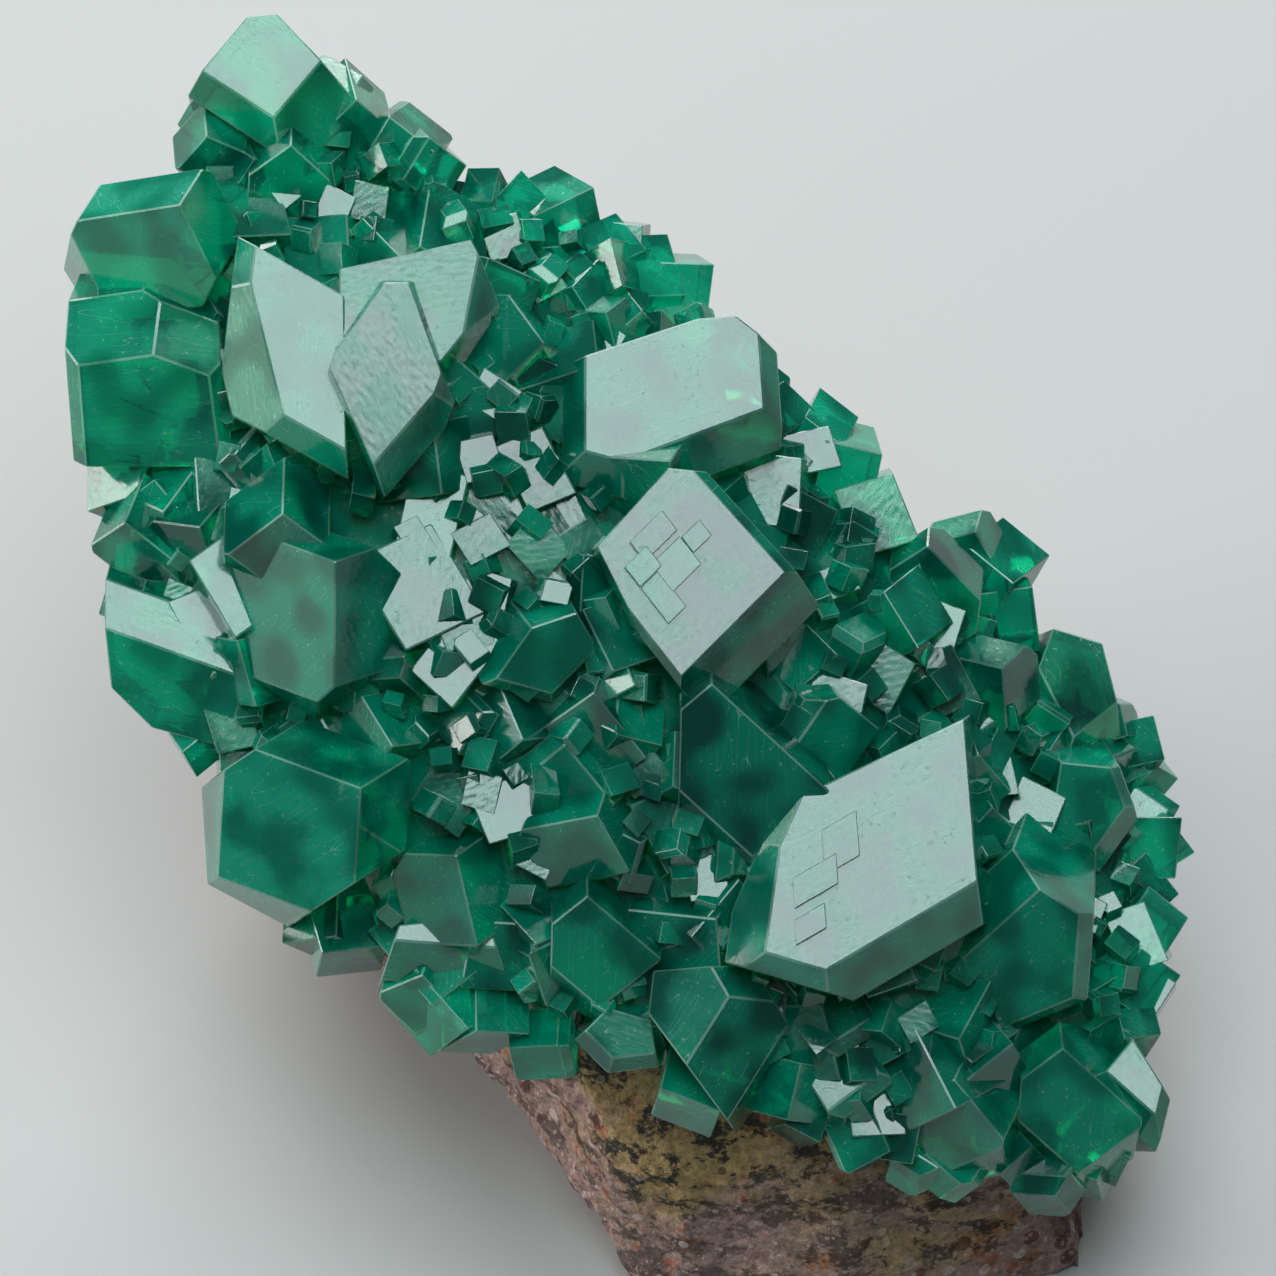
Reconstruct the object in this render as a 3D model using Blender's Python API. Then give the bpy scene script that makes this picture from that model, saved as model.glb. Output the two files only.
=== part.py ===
# Dioptase specimen: a crust of intergrown green crystals on a piece of brown host rock.
# Shapes are laid out in millimetres in the plane that faces the viewer: u runs right, v runs up
# and w comes toward the viewer. The last step stands them on the ground in metres.

import math
import random

import bmesh
import bpy
from mathutils import Matrix, Vector, noise

# Stance
VIEW_TILT = 55.0
LONG_AXIS_TURN = 42.0
FOOT_DROP = 29.0
PLAN_CENTRE = (-2.0, 1.2)
MM = 0.001
CUT_TOLERANCE = 1e-5
MERGE = 0.001

# Crust: a rounded bed whose long axis runs down to the right in the viewing plane. It thins
# toward its rim.
LONG_AXIS = (0.62, -0.78)
CRUST_THICKNESS = 5.0
RIM_THINNING = 1.5
UNDERSIDE_SPARE = 1.0
BASE_RINGS = [(0.35, 0.0), (0.72, 0.0), (0.9, -0.8)]
BASE_UNDERSIDE = (0.92, 0.5)
BED_RINGS = [(0.5, 0.0), (0.93, RIM_THINNING), (1.4, RIM_THINNING)]
CUTTER_SIDE = 40.0
CUTTER_END = 60.0
SEAM_GAP = 0.4
END_FALL = 6.0
END_REACH = 27.0
RIM_FALL_RIGHT = 7.0
RIM_FALL_LEFT = 3.0
RIM_REACH = 13.0
CREST_ALONG = -3.0
CREST_ACROSS = -2.0
CRUST_OUTLINE = [
    (-14.5, 23.5), (-11.5, 20.8), (-8.5, 19.3), (-4.8, 18.2), (-1.2, 16.4), (1.8, 14.4),
    (4.2, 12.0), (6.0, 9.4), (8.6, 6.6), (11.4, 3.9), (14.4, 2.3), (16.8, -0.8),
    (19.4, -2.8), (21.3, -6.0), (21.4, -10.4), (21.2, -14.4), (20.6, -17.6), (21.4, -19.8),
    (18.6, -21.6), (13.6, -21.2), (9.0, -20.6), (5.4, -18.6), (1.2, -17.2), (-4.2, -16.1),
    (-7.2, -14.2), (-10.4, -12.4), (-15.0, -10.2), (-16.4, -5.6), (-20.4, -2.8), (-19.6, 1.2),
    (-21.6, 5.0), (-22.2, 10.2), (-20.8, 13.8), (-21.2, 16.8), (-18.4, 18.6), (-16.8, 21.0),
]

# Crystal habit: three upper faces, three lower faces and six upright sides. An upper face is
# 51 degrees off square to the long axis, so a block of half width 1 has its side edges 1.486
# from that axis, and an upright side meets an upper face at 48 degrees.
FACE_TO_AXIS = 51.0
EDGE_TO_AXIS = 1.486
BAND_SLOPE = 48.0
STEEP_SIDE = 0.09
UNDERCUT = 0.05
SINK = 3.2
FAR_SIDE = 1.6
BLOCK_CUBE = 26.0
STEP_CUBE = 8.0
STEP_ROOT = 0.6
SMALL_CUBE = 9.0

# Host rock: its outline under the crust in the viewing plane, and the foot's outline on the
# ground before the long-axis turn, point for point
ROCK_TOP = [
    (-12.6, 20.2), (-8.6, 17.4), (-4.4, 15.4), (-0.4, 13.6), (3.6, 10.6), (6.8, 6.8),
    (10.4, 3.0), (14.2, 0.4), (17.0, -3.2), (18.8, -7.6), (19.0, -12.0), (18.8, -16.4),
    (18.0, -19.6), (13.0, -19.6), (8.4, -18.8), (4.0, -17.2), (0.0, -16.4), (-3.4, -15.8),
    (-5.4, -12.0), (-9.4, -10.2), (-13.2, -8.4), (-15.0, -4.4), (-17.6, -1.4), (-18.4, 2.0),
    (-19.4, 6.0), (-19.2, 10.4), (-18.0, 14.0), (-16.0, 17.6),
]
ROCK_FOOT = [
    (-8.0, 16.5), (-4.5, 17.3), (-1.0, 17.6), (2.5, 17.6), (6.0, 17.0), (9.5, 15.8),
    (12.5, 14.0), (15.5, 11.5), (17.6, 8.0), (18.8, 3.5), (19.2, -1.0), (18.9, -5.5),
    (18.2, -11.5), (13.0, -13.4), (8.5, -13.8), (4.2, -13.6), (1.6, -13.2), (-0.2, -12.0),
    (-1.6, -8.2), (-3.4, -3.8), (-6.4, 1.4), (-9.4, 4.6), (-11.6, 6.4), (-13.2, 8.2),
    (-13.8, 10.0), (-13.4, 12.0), (-12.2, 14.0), (-10.4, 15.6),
]
FOOT_MIDDLE = (4.0, 2.0)
ROCK_SEED = 5
ROCK_LEVELS = 9
ROCK_OVERLAP = 1.5
BROAD_LUMPS = (0.13, 2.2)
FINE_LUMPS = (0.45, 0.8)
LEDGE_DEPTH = 0.6
LEDGE_STEP = 3.1
LEDGE_WANDER = 2.0

# Blocks that turn one face to the viewer: outline of that face, its depth over the crust,
# the way it leans (right, up, in degrees) and the width of the sloping band along each side
TABLES = {
    "top_cube": {
        "outline": [(-17.4, 22.6), (-14.5, 20.7), (-12.6, 23.0), (-14.4, 24.9), (-15.6, 24.8)],
        "rise": 3.4, "lean": (-4, 16), "bands": [1.0, 1.9, 0, 0, 0],
    },
    "left_box": {
        "outline": [(-22.0, 6.8), (-16.6, 6.8), (-17.0, 10.4), (-19.2, 11.2), (-22.2, 10.8)],
        "rise": 2.4, "lean": (-4, -28), "bands": [0, 0.5, 1.6, 2.0, 0.6],
    },
    "left_twin": {
        "outline": [(-15.3, 14.0), (-14.0, 8.8), (-11.5, 7.4), (-11.6, 13.5), (-15.1, 15.5)],
        "rise": 3.6, "lean": (2, 6), "bands": [2.0, 0.9, 0, 0, 0.8],
    },
    "right_twin": {
        "outline": [(-12.1, 10.5), (-10.4, 6.8), (-8.0, 9.6), (-7.7, 10.4), (-9.0, 14.0),
                    (-10.0, 14.0), (-11.8, 11.4)],
        "rise": 4.5, "lean": (1, 2), "bands": [0, 1.2, 0.9, 0, 0, 0, 0],
    },
    "roof_block": {
        "outline": [(-11.8, 12.0), (-8.5, 10.0), (-6.9, 12.0), (-6.3, 15.2), (-6.6, 15.8),
                    (-11.8, 14.6)],
        "rise": 2.9, "lean": (4, 20), "bands": [0, 0, 2.1, 0, 0, 0],
    },
    "pentagon": {
        "outline": [(-2.1, 7.4), (-0.6, 7.0), (5.0, 9.1), (4.8, 12.1), (3.9, 12.8), (2.4, 12.7),
                    (-2.1, 11.2)],
        "rise": 3.6, "lean": (4, 14), "bands": [1.2, 1.5, 0.8, 0, 0, 0, 0.9],
    },
    "middle_square": {
        "outline": [(-1.6, 3.6), (-0.4, 1.2), (1.7, -1.5), (5.8, 2.6), (2.2, 6.6), (1.2, 6.7)],
        "rise": 3.4, "lean": (2, 4), "bands": [0, 0.3, 2.0, 0.4, 0, 0],
    },
    "right_slab": {
        "outline": [(5.6, -8.2), (5.0, -12.4), (7.4, -13.1), (13.4, -9.6), (12.9, -3.2),
                    (6.5, -6.2)],
        "rise": 3.8, "lean": (0, 6), "bands": [1.6, 0.8, 1.6, 0, 0, 0.8],
    },
    "left_wedge": {
        "outline": [(-21.2, 0.4), (-21.0, -2.0), (-19.4, -3.6), (-16.4, -4.4), (-15.6, -1.6)],
        "rise": 1.8, "lean": (-10, -26), "bands": [0, 0, 0, 0.5, 1.4],
    },
    "tilted_leaf": {
        "outline": [(-5.6, -1.6), (-3.4, -2.2), (-1.6, -0.4), (-2.4, 1.0), (-4.2, 0.4)],
        "rise": 1.6, "lean": (18, -22), "bands": [0.6, 0.6, 0, 0, 0],
    },
    "scratched_block": {
        "outline": [(0.4, -14.9), (1.9, -16.9), (3.6, -14.2), (2.9, -13.0), (0.6, -13.2)],
        "rise": 2.4, "lean": (-12, 10), "bands": [0, 2.2, 1.4, 0, 0],
    },
    "star_plate": {
        "outline": [(-2.1, -15.6), (-1.0, -16.7), (0.7, -16.5), (0.5, -15.2), (-1.2, -14.7)],
        "rise": 1.8, "lean": (0, 2), "bands": [0.6, 0.6, 0, 0, 0],
    },
    "bar_block": {
        "outline": [(-9.7, -12.0), (-5.6, -12.3), (-5.8, -11.7), (-7.6, -11.2), (-9.5, -11.4)],
        "rise": 1.6, "lean": (0, 14), "bands": [1.4, 0, 0, 0, 0],
    },
    "corner_rhomb": {
        "outline": [(18.8, -17.4), (20.8, -19.2), (21.1, -18.0), (19.9, -16.1)],
        "rise": 3.0, "lean": (4, 8), "bands": [1.0, 0.5, 0, 0],
    },
    "green_front": {
        "outline": [(13.0, -12.8), (14.6, -15.6), (17.4, -14.4), (17.6, -11.0), (16.0, -10.0)],
        "rise": 2.6, "lean": (-6, -24), "bands": [0.8, 0.6, 0.6, 0, 1.6],
    },
    "right_pane": {
        "outline": [(16.2, -1.2), (17.6, -4.0), (19.4, -2.6), (18.8, -0.2), (16.8, 0.4)],
        "rise": 2.4, "lean": (10, 12), "bands": [0.8, 1.2, 0, 0, 0],
    },
    "frosted_pane": {
        "outline": [(16.6, -7.6), (18.2, -8.8), (19.6, -6.8), (19.0, -5.2), (17.0, -5.0)],
        "rise": 2.6, "lean": (4, -12), "bands": [0.5, 1.0, 0.4, 0, 0],
    },
}

# Blocks that turn a corner to the viewer: place of the corner, its height over the crust,
# the lean of the long axis (right, up), the turn about it and the reach of its six sides
PEAKS = {
    "left_cube": {"tip": (-18.1, 17.1), "rise": 5.6, "lean": (6, 12), "spin": 2,
                  "reach": [2.2, 1.8, 3.4, 3.8, 3.4, 2.6]},
    "lower_left": {"tip": (-10.9, -5.9), "rise": 5.2, "lean": (14, 10), "spin": -26,
                   "reach": [2.6, 2.4, 3.6, 4.6, 4.4, 3.0]},
    "inner_cube": {"tip": (-11.9, 3.0), "rise": 4.6, "lean": (2, 16), "spin": -30,
                   "reach": [3.4, 1.6, 3.6, 4.2, 4.4, 3.8]},
    "arched_block": {"tip": (-14.0, 4.9), "rise": 4.2, "lean": (0, 14), "spin": 30,
                     "reach": [2.8, 2.4, 2.4, 2.2, 1.6, 1.8]},
    "hooded_block": {"tip": (2.9, -1.8), "rise": 3.4, "lean": (2, 34), "spin": 30,
                     "reach": [3.0, 1.2, 1.2, 3.0, 4.8, 4.8]},
    "left_low": {"tip": (-20.4, 4.6), "rise": 2.6, "lean": (-14, 10), "spin": 20,
                 "reach": [2.0, 2.2, 1.6, 1.8, 2.2, 2.2]},
    "left_gap": {"tip": (-17.4, 4.4), "rise": 2.0, "lean": (6, 4), "spin": -10,
                 "reach": [1.9, 1.8, 1.6, 1.8, 2.4, 2.0]},
    "under_top": {"tip": (-13.8, 19.6), "rise": 2.8, "lean": (4, 20), "spin": 28,
                  "reach": [1.9, 1.2, 1.6, 2.2, 2.0, 1.8]},
    "shoulder_block": {"tip": (-17.2, 20.0), "rise": 2.2, "lean": (-6, 8), "spin": 40,
                       "reach": [1.4, 1.4, 1.6, 1.5, 1.4, 1.4]},
    "saddle_block": {"tip": (11.6, 3.7), "rise": 3.0, "lean": (2, 22), "spin": 24,
                     "reach": [1.6, 1.0, 1.4, 2.3, 3.2, 2.4]},
    "saddle_back": {"tip": (13.6, 4.3), "rise": 2.6, "lean": (8, 12), "spin": 10,
                    "reach": [1.4, 1.0, 1.6, 2.4, 3.0, 1.8]},
    "right_long": {"tip": (14.6, -1.2), "rise": 3.2, "lean": (10, 8), "spin": -18,
                   "reach": [2.0, 1.4, 2.0, 2.6, 3.0, 2.0]},
    "foot_right": {"tip": (17.0, -16.4), "rise": 2.8, "lean": (4, 26), "spin": 30,
                   "reach": [2.2, 1.4, 1.6, 2.6, 3.6, 3.4]},
    "foot_middle": {"tip": (12.6, -17.6), "rise": 2.4, "lean": (-6, 20), "spin": 12,
                    "reach": [2.0, 1.6, 1.8, 2.4, 2.6, 2.4]},
    "low_round": {"tip": (-8.6, -13.4), "rise": 2.2, "lean": (-4, 10), "spin": 16,
                  "reach": [1.7, 1.5, 1.6, 1.8, 1.8, 1.8]},
    "green_lens": {"tip": (-7.2, -8.6), "rise": 2.4, "lean": (2, 20), "spin": -14,
                   "reach": [2.4, 1.6, 1.8, 2.4, 2.8, 2.8]},
    "ridge_block": {"tip": (-1.6, -7.0), "rise": 2.4, "lean": (10, 10), "spin": 8,
                    "reach": [2.2, 1.4, 2.4, 2.6, 2.2, 2.2]},
    "deep_green": {"tip": (-2.0, -10.2), "rise": 2.2, "lean": (2, 26), "spin": 30,
                   "reach": [2.2, 1.2, 1.4, 2.4, 3.0, 3.0]},
}

# Small pale blocks that catch the light: place, half width and turn in degrees
PLATES = [
    (-5.3, 16.1, 0.9, 60), (-3.8, 14.4, 0.8, 75), (-0.6, 16.0, 0.75, 40), (-12.0, 17.2, 0.75, 20),
    (-10.6, 17.4, 0.8, 35), (-4.0, 6.8, 1.15, 70), (-6.2, 7.2, 0.9, 60), (-8.0, 5.2, 1.3, 30),
    (-6.2, 4.0, 0.8, 75), (-5.6, 9.6, 0.8, 15), (-3.8, 3.6, 0.95, 0), (-2.0, 3.6, 0.8, 80),
    (-7.0, 0.9, 1.1, 65), (-7.0, -0.7, 1.3, 5), (-5.6, 1.9, 0.5, 30), (-4.2, 0.2, 0.8, 45),
    (-7.4, -6.3, 1.1, 10), (-6.1, -6.0, 0.8, 30), (-5.0, -6.6, 1.2, 65), (8.0, -2.4, 1.0, 30),
    (10.0, -1.6, 0.9, 15), (12.4, -1.6, 1.0, 70), (14.4, -5.2, 0.85, 55), (16.0, -7.0, 0.9, 20),
    (16.7, -2.0, 0.6, 0), (5.0, -14.4, 1.2, 35), (9.6, -15.6, 1.3, 75), (9.6, -18.6, 1.25, 50),
    (-1.0, -12.8, 1.1, 55), (19.6, -5.0, 0.9, 75), (21.0, -8.4, 1.1, 80), (20.2, -12.0, 1.0, 65),
    (20.7, -14.2, 1.0, 10), (18.2, -11.0, 0.7, 20), (-17.2, 0.9, 0.9, 70), (-18.3, 1.7, 0.6, 25),
    (5.4, 6.0, 1.1, 40), (7.0, 7.6, 0.9, 60), (6.3, 6.9, 0.5, 5), (2.8, -9.2, 0.9, 50),
    (12.0, 0.4, 0.9, 25), (-16.2, -3.1, 1.0, 60), (-3.9, -8.4, 0.7, 20), (0.0, -5.0, 0.8, 80),
]

# Growth steps: thin plates that stand a little above a large face, with their sides along
# two edge directions: place, half length, half width and height
STEPS = {
    "middle_square": {"along": (0.71, 0.70), "across": (0.61, -0.79), "plates": [
        (0.6, 4.0, 0.9, 0.5, 0.30), (1.5, 2.9, 0.8, 0.7, 0.22), (0.2, 2.8, 0.6, 0.5, 0.34),
        (1.0, 1.6, 0.5, 0.9, 0.20), (2.3, 4.0, 0.5, 0.4, 0.25)]},
    "right_slab": {"along": (0.86, 0.50), "across": (0.08, -1.0), "plates": [
        (7.0, -9.6, 1.0, 0.6, 0.25), (8.0, -8.1, 0.8, 0.9, 0.20), (6.8, -11.3, 0.7, 0.5, 0.30)]},
}

PLATE_SEED = 7
PLATE_LEAN = ((-5, 5), (0, 10))
PLATE_LIFT = (0.5, 1.0)
PLATE_STRETCH = ((0.75, 1.1), (0.9, 1.3))

# Fill between them, in a rim row and over the bed. It is finer on the upper right of the crust.
FILL_SEED = 41
FILL_TRIES = 5200
FILL_AREA = ((-23.0, 23.0), (-22.0, 25.0))
FILL_EDGE = 0.93
FINE_FROM = 5.0
FINE_SPACING = 1.38
COARSE_SPACING = 1.8
FINE_HALF = (0.6, 1.1)
COARSE_HALF = (0.95, 1.75)
FILL_LEAN = ((-40, 40), (-38, 42))
FILL_LIFT = (0.2, 0.9)
FILL_STRETCH = ((0.8, 1.2), (0.85, 1.4))
FILL_SIDES = (0, 0, 0.86)
FILL_CLEARANCE = 0.8
RIM_SPACING = 1.7
RIM_SHRINK = 0.965
RIM_HALF = (0.8, 1.25)
RIM_CLEARANCE = 0.6
PEAK_CLEARANCE = 0.62


def crust_axes(u, v):
    """Distances along the crust's long axis and across it."""
    right, up = LONG_AXIS
    return right * u + up * v, right * v - up * u


def crust_height(u, v):
    """Depth of the crust's rounded surface at a place in the viewing plane."""
    along, across = crust_axes(u, v)
    rim_fall = RIM_FALL_RIGHT if across > CREST_ACROSS else RIM_FALL_LEFT
    end_part = END_FALL * ((along - CREST_ALONG) / END_REACH) ** 2
    rim_part = rim_fall * ((across - CREST_ACROSS) / RIM_REACH) ** 2
    return -end_part - rim_part


def lean_vector(right, up):
    """Unit vector toward the viewer, leaned by two angles in degrees."""
    vector = Vector((math.tan(math.radians(right)), math.tan(math.radians(up)), 1.0))
    return vector.normalized()


def solid_from_planes(middle, size, planes):
    """Closed block left when a cube about middle is cut by each (point, outward normal)."""
    block = bmesh.new()
    bmesh.ops.create_cube(block, size=size, matrix=Matrix.Translation(middle))
    for point, normal in planes:
        everything = block.verts[:] + block.edges[:] + block.faces[:]
        cut = bmesh.ops.bisect_plane(block, geom=everything, dist=CUT_TOLERANCE,
                                     plane_co=point, plane_no=normal, clear_outer=True)
        rim = [item for item in cut["geom_cut"] if isinstance(item, bmesh.types.BMEdge)]
        if len(rim) > 2:
            bmesh.ops.contextual_create(block, geom=rim)
    bmesh.ops.remove_doubles(block, verts=block.verts, dist=MERGE)
    bmesh.ops.recalc_face_normals(block, faces=block.faces)
    return block


def face_middle(outline, rise):
    """Middle of a measured face."""
    u_mid = sum(point[0] for point in outline) / len(outline)
    v_mid = sum(point[1] for point in outline) / len(outline)
    return Vector((u_mid, v_mid, crust_height(u_mid, v_mid) + rise))


def on_face(u, v, middle, front):
    """Place on the leaned face through middle that the viewer sees at (u, v)."""
    drop = (front.x * (u - middle.x) + front.y * (v - middle.y)) / front.z
    return Vector((u, v, middle.z - drop))


def table_block(outline, rise, lean, bands):
    """Block with one measured face toward the viewer and sloping bands below its edges."""
    middle = face_middle(outline, rise)
    front = lean_vector(*lean)
    corners = [on_face(u, v, middle, front) for u, v in outline]
    planes = [(middle, front)]
    slope = math.radians(BAND_SLOPE)
    for index, corner in enumerate(corners):
        after = corners[(index + 1) % len(corners)]
        outward = (after - corner).cross(front).normalized()
        if bands[index]:
            planes.append((corner, outward * math.sin(slope) + front * math.cos(slope)))
            planes.append((corner + outward * bands[index], outward - front * UNDERCUT))
        else:
            planes.append((corner, outward + front * STEEP_SIDE))
    planes.append((middle - front * (rise + SINK), -front))
    return solid_from_planes(middle, BLOCK_CUBE, planes)


def step_plates():
    """Thin plates raised on the faces that show growth steps."""
    blocks = []
    for name, steps in STEPS.items():
        parent = TABLES[name]
        front = lean_vector(*parent["lean"])
        face = face_middle(parent["outline"], parent["rise"])
        along = on_plane(steps["along"], front)
        across = on_plane(steps["across"], front)
        side = front.cross(across).normalized()
        end = along.cross(front).normalized()
        for u, v, half_length, half_width, height in steps["plates"]:
            middle = on_face(u, v, face, front)
            planes = [(middle + front * height, front), (middle - front * STEP_ROOT, -front),
                      (middle + along * half_length, side), (middle - along * half_length, -side),
                      (middle + across * half_width, end), (middle - across * half_width, -end)]
            blocks.append(solid_from_planes(middle, STEP_CUBE, planes))
    return blocks


def on_plane(direction, front):
    """Unit vector on a leaned face that looks like direction to the viewer."""
    u, v = direction
    return Vector((u, v, -(front.x * u + front.y * v) / front.z)).normalized()


def habit_axes(long_axis, spin):
    """Cross axes of a crystal from its long axis and its turn about it in degrees."""
    right = Vector((1.0, 0.0, 0.0))
    first = (right - long_axis * right.dot(long_axis)).normalized()
    second = long_axis.cross(first)
    turn = math.radians(spin)
    return (first * math.cos(turn) + second * math.sin(turn),
            second * math.cos(turn) - first * math.sin(turn))


def around(first, second, degrees):
    """Direction at an angle in the plane of two cross axes."""
    turn = math.radians(degrees)
    return first * math.cos(turn) + second * math.sin(turn)


def peak_block(tip, rise, lean, spin, reach):
    """Block with three faces that meet in a corner toward the viewer, and six upright sides."""
    corner = Vector((tip[0], tip[1], crust_height(*tip) + rise))
    axis = lean_vector(*lean)
    first, second = habit_axes(axis, spin)
    tilt = math.radians(FACE_TO_AXIS)
    planes = []
    for step in range(3):
        sideways = around(first, second, 120 * step)
        planes.append((corner, sideways * math.sin(tilt) + axis * math.cos(tilt)))
    for step, distance in enumerate(reach):
        sideways = around(first, second, 30 + 60 * step)
        planes.append((corner + sideways * distance, sideways))
    planes.append((corner - axis * (rise + SINK), -axis))
    return solid_from_planes(corner, BLOCK_CUBE, planes)


def small_block(place, half, front, turn, stretch, sides):
    """Whole small crystal with its front face centred on place."""
    toward = math.radians(turn)
    up = Vector((math.cos(toward), math.sin(toward), 0.0))
    up = (up - front * up.dot(front)).normalized()
    tilt = math.radians(FACE_TO_AXIS)
    axis = front * math.cos(tilt) + up * math.sin(tilt)
    first = front * math.sin(tilt) - up * math.cos(tilt)
    second = axis.cross(first)
    middle = place - front * half
    planes = []
    for step in range(3):
        above = around(first, second, 120 * step) * math.sin(tilt) + axis * math.cos(tilt)
        grow = 1.0 if step == 0 else stretch[step - 1]
        planes.append((middle + above * half * grow, above))
        planes.append((middle - above * half * (FAR_SIDE if step == 0 else grow), -above))
    if sides:
        for step in range(6):
            sideways = around(first, second, 30 + 60 * step)
            planes.append((middle + sideways * half * EDGE_TO_AXIS * sides, sideways))
    return solid_from_planes(middle, half * SMALL_CUBE, planes)


def inside_outline(u, v, outline):
    """True where a place lies inside a closed outline."""
    inside = False
    for index, (u_a, v_a) in enumerate(outline):
        u_b, v_b = outline[index - 1]
        if (v_a > v) != (v_b > v) and u < u_a + (v - v_a) * (u_b - u_a) / (v_b - v_a):
            inside = not inside
    return inside


def near_main_block(u, v, margin):
    """True where a place lies on a main block or closer than margin to its face."""
    for block in TABLES.values():
        if inside_outline(u, v, block["outline"]):
            return True
        if min(math.hypot(u - p[0], v - p[1]) for p in block["outline"]) < margin:
            return True
    for block in PEAKS.values():
        clearance = PEAK_CLEARANCE * max(block["reach"])
        if math.hypot(u - block["tip"][0], v - block["tip"][1]) < clearance:
            return True
    return False


def plate_blocks():
    """Small pale blocks placed by hand, all with a face near the viewer's direction."""
    chance = random.Random(PLATE_SEED)
    blocks = []
    for u, v, half, turn in PLATES:
        front = lean_vector(*[chance.uniform(*span) for span in PLATE_LEAN])
        place = Vector((u, v, crust_height(u, v) + chance.uniform(*PLATE_LIFT)))
        stretch = [chance.uniform(*span) for span in PLATE_STRETCH]
        blocks.append(small_block(place, half, front, turn, stretch, 0))
    return blocks


def rim_places():
    """Places along the rim of the crust, a step apart."""
    places = []
    for index, (u_a, v_a) in enumerate(CRUST_OUTLINE):
        u_b, v_b = CRUST_OUTLINE[(index + 1) % len(CRUST_OUTLINE)]
        steps = max(1, round(math.hypot(u_b - u_a, v_b - v_a) / RIM_SPACING))
        for step in range(steps):
            share = step / steps
            places.append(((u_a + (u_b - u_a) * share) * RIM_SHRINK,
                           (v_a + (v_b - v_a) * share) * RIM_SHRINK))
    return places


def strewn_block(u, v, half, chance):
    """Small crystal turned at random and sunk part of the way into the crust."""
    front = lean_vector(*[chance.uniform(*span) for span in FILL_LEAN])
    place = Vector((u, v, crust_height(u, v) + half * chance.uniform(*FILL_LIFT)))
    stretch = [chance.uniform(*span) for span in FILL_STRETCH]
    sides = chance.choice(FILL_SIDES)
    return small_block(place, half, front, chance.uniform(0, 360), stretch, sides)


def fill_blocks():
    """Small crystals along the rim and over the rest of the crust."""
    chance = random.Random(FILL_SEED)
    taken = [(plate[0], plate[1]) for plate in PLATES]
    blocks = []
    for u, v in rim_places():
        if not near_main_block(u, v, RIM_CLEARANCE):
            taken.append((u, v))
            blocks.append(strewn_block(u, v, chance.uniform(*RIM_HALF), chance))
    for _ in range(FILL_TRIES):
        u, v = [chance.uniform(*span) for span in FILL_AREA]
        fine = crust_axes(u, v)[1] > FINE_FROM
        spacing = FINE_SPACING if fine else COARSE_SPACING
        inside = inside_outline(u / FILL_EDGE, v / FILL_EDGE, CRUST_OUTLINE)
        if not inside or near_main_block(u, v, FILL_CLEARANCE):
            continue
        if any(math.hypot(u - a, v - b) < spacing for a, b in taken):
            continue
        taken.append((u, v))
        half = chance.uniform(*(FINE_HALF if fine else COARSE_HALF))
        blocks.append(strewn_block(u, v, half, chance))
    return blocks


def ring_solid(name, rings, top, bottom):
    """Closed solid through stacked rings of points, capped by a fan at each end."""
    shell = bmesh.new()
    loops = [[shell.verts.new(point) for point in ring] for ring in rings]
    count = len(loops[0])
    top_vert = shell.verts.new(top)
    bottom_vert = shell.verts.new(bottom)
    for index in range(count):
        after = (index + 1) % count
        shell.faces.new((top_vert, loops[0][index], loops[0][after]))
        shell.faces.new((bottom_vert, loops[-1][after], loops[-1][index]))
        for upper, lower in zip(loops, loops[1:]):
            shell.faces.new((upper[index], lower[index], upper[after]))
            shell.faces.new((upper[after], lower[index], lower[after]))
    bmesh.ops.recalc_face_normals(shell, faces=shell.faces)
    return object_from(name, shell)


def crust_ring(shrink, lift):
    """Ring of the crust's outline, shrunk toward the middle and laid on the rounded surface."""
    points = []
    for u, v in CRUST_OUTLINE:
        u, v = u * shrink, v * shrink
        points.append(Vector((u, v, crust_height(u, v) + lift)))
    return points


def object_from(name, block):
    """Scene object that holds a finished bmesh."""
    mesh = bpy.data.meshes.new(name)
    block.to_mesh(mesh)
    block.free()
    item = bpy.data.objects.new(name, mesh)
    bpy.context.scene.collection.objects.link(item)
    return item


def apply_boolean(target, operation, others):
    """Join the other objects to target, or cut them from it, in one exact Boolean."""
    group = bpy.data.collections.new(operation.title())
    bpy.context.scene.collection.children.link(group)
    for other in others:
        bpy.context.scene.collection.objects.unlink(other)
        group.objects.link(other)
    step = target.modifiers.new(operation.title(), "BOOLEAN")
    step.operation = operation
    step.solver = "EXACT"
    step.operand_type = "COLLECTION"
    step.collection = group
    shaped = target.evaluated_get(bpy.context.evaluated_depsgraph_get())
    result = bpy.data.meshes.new_from_object(shaped)
    target.modifiers.clear()
    target.data = result
    for other in others:
        bpy.data.objects.remove(other)
    bpy.data.collections.remove(group)


def face_shells(block):
    """Sets of faces that hang together along edges, the smallest set first."""
    unseen = set(block.faces)
    shells = []
    while unseen:
        queue = [unseen.pop()]
        shell = set(queue)
        while queue:
            for edge in queue.pop().edges:
                for face in edge.link_faces:
                    if face in unseen:
                        unseen.remove(face)
                        shell.add(face)
                        queue.append(face)
        shells.append(shell)
    return sorted(shells, key=len)


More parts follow.
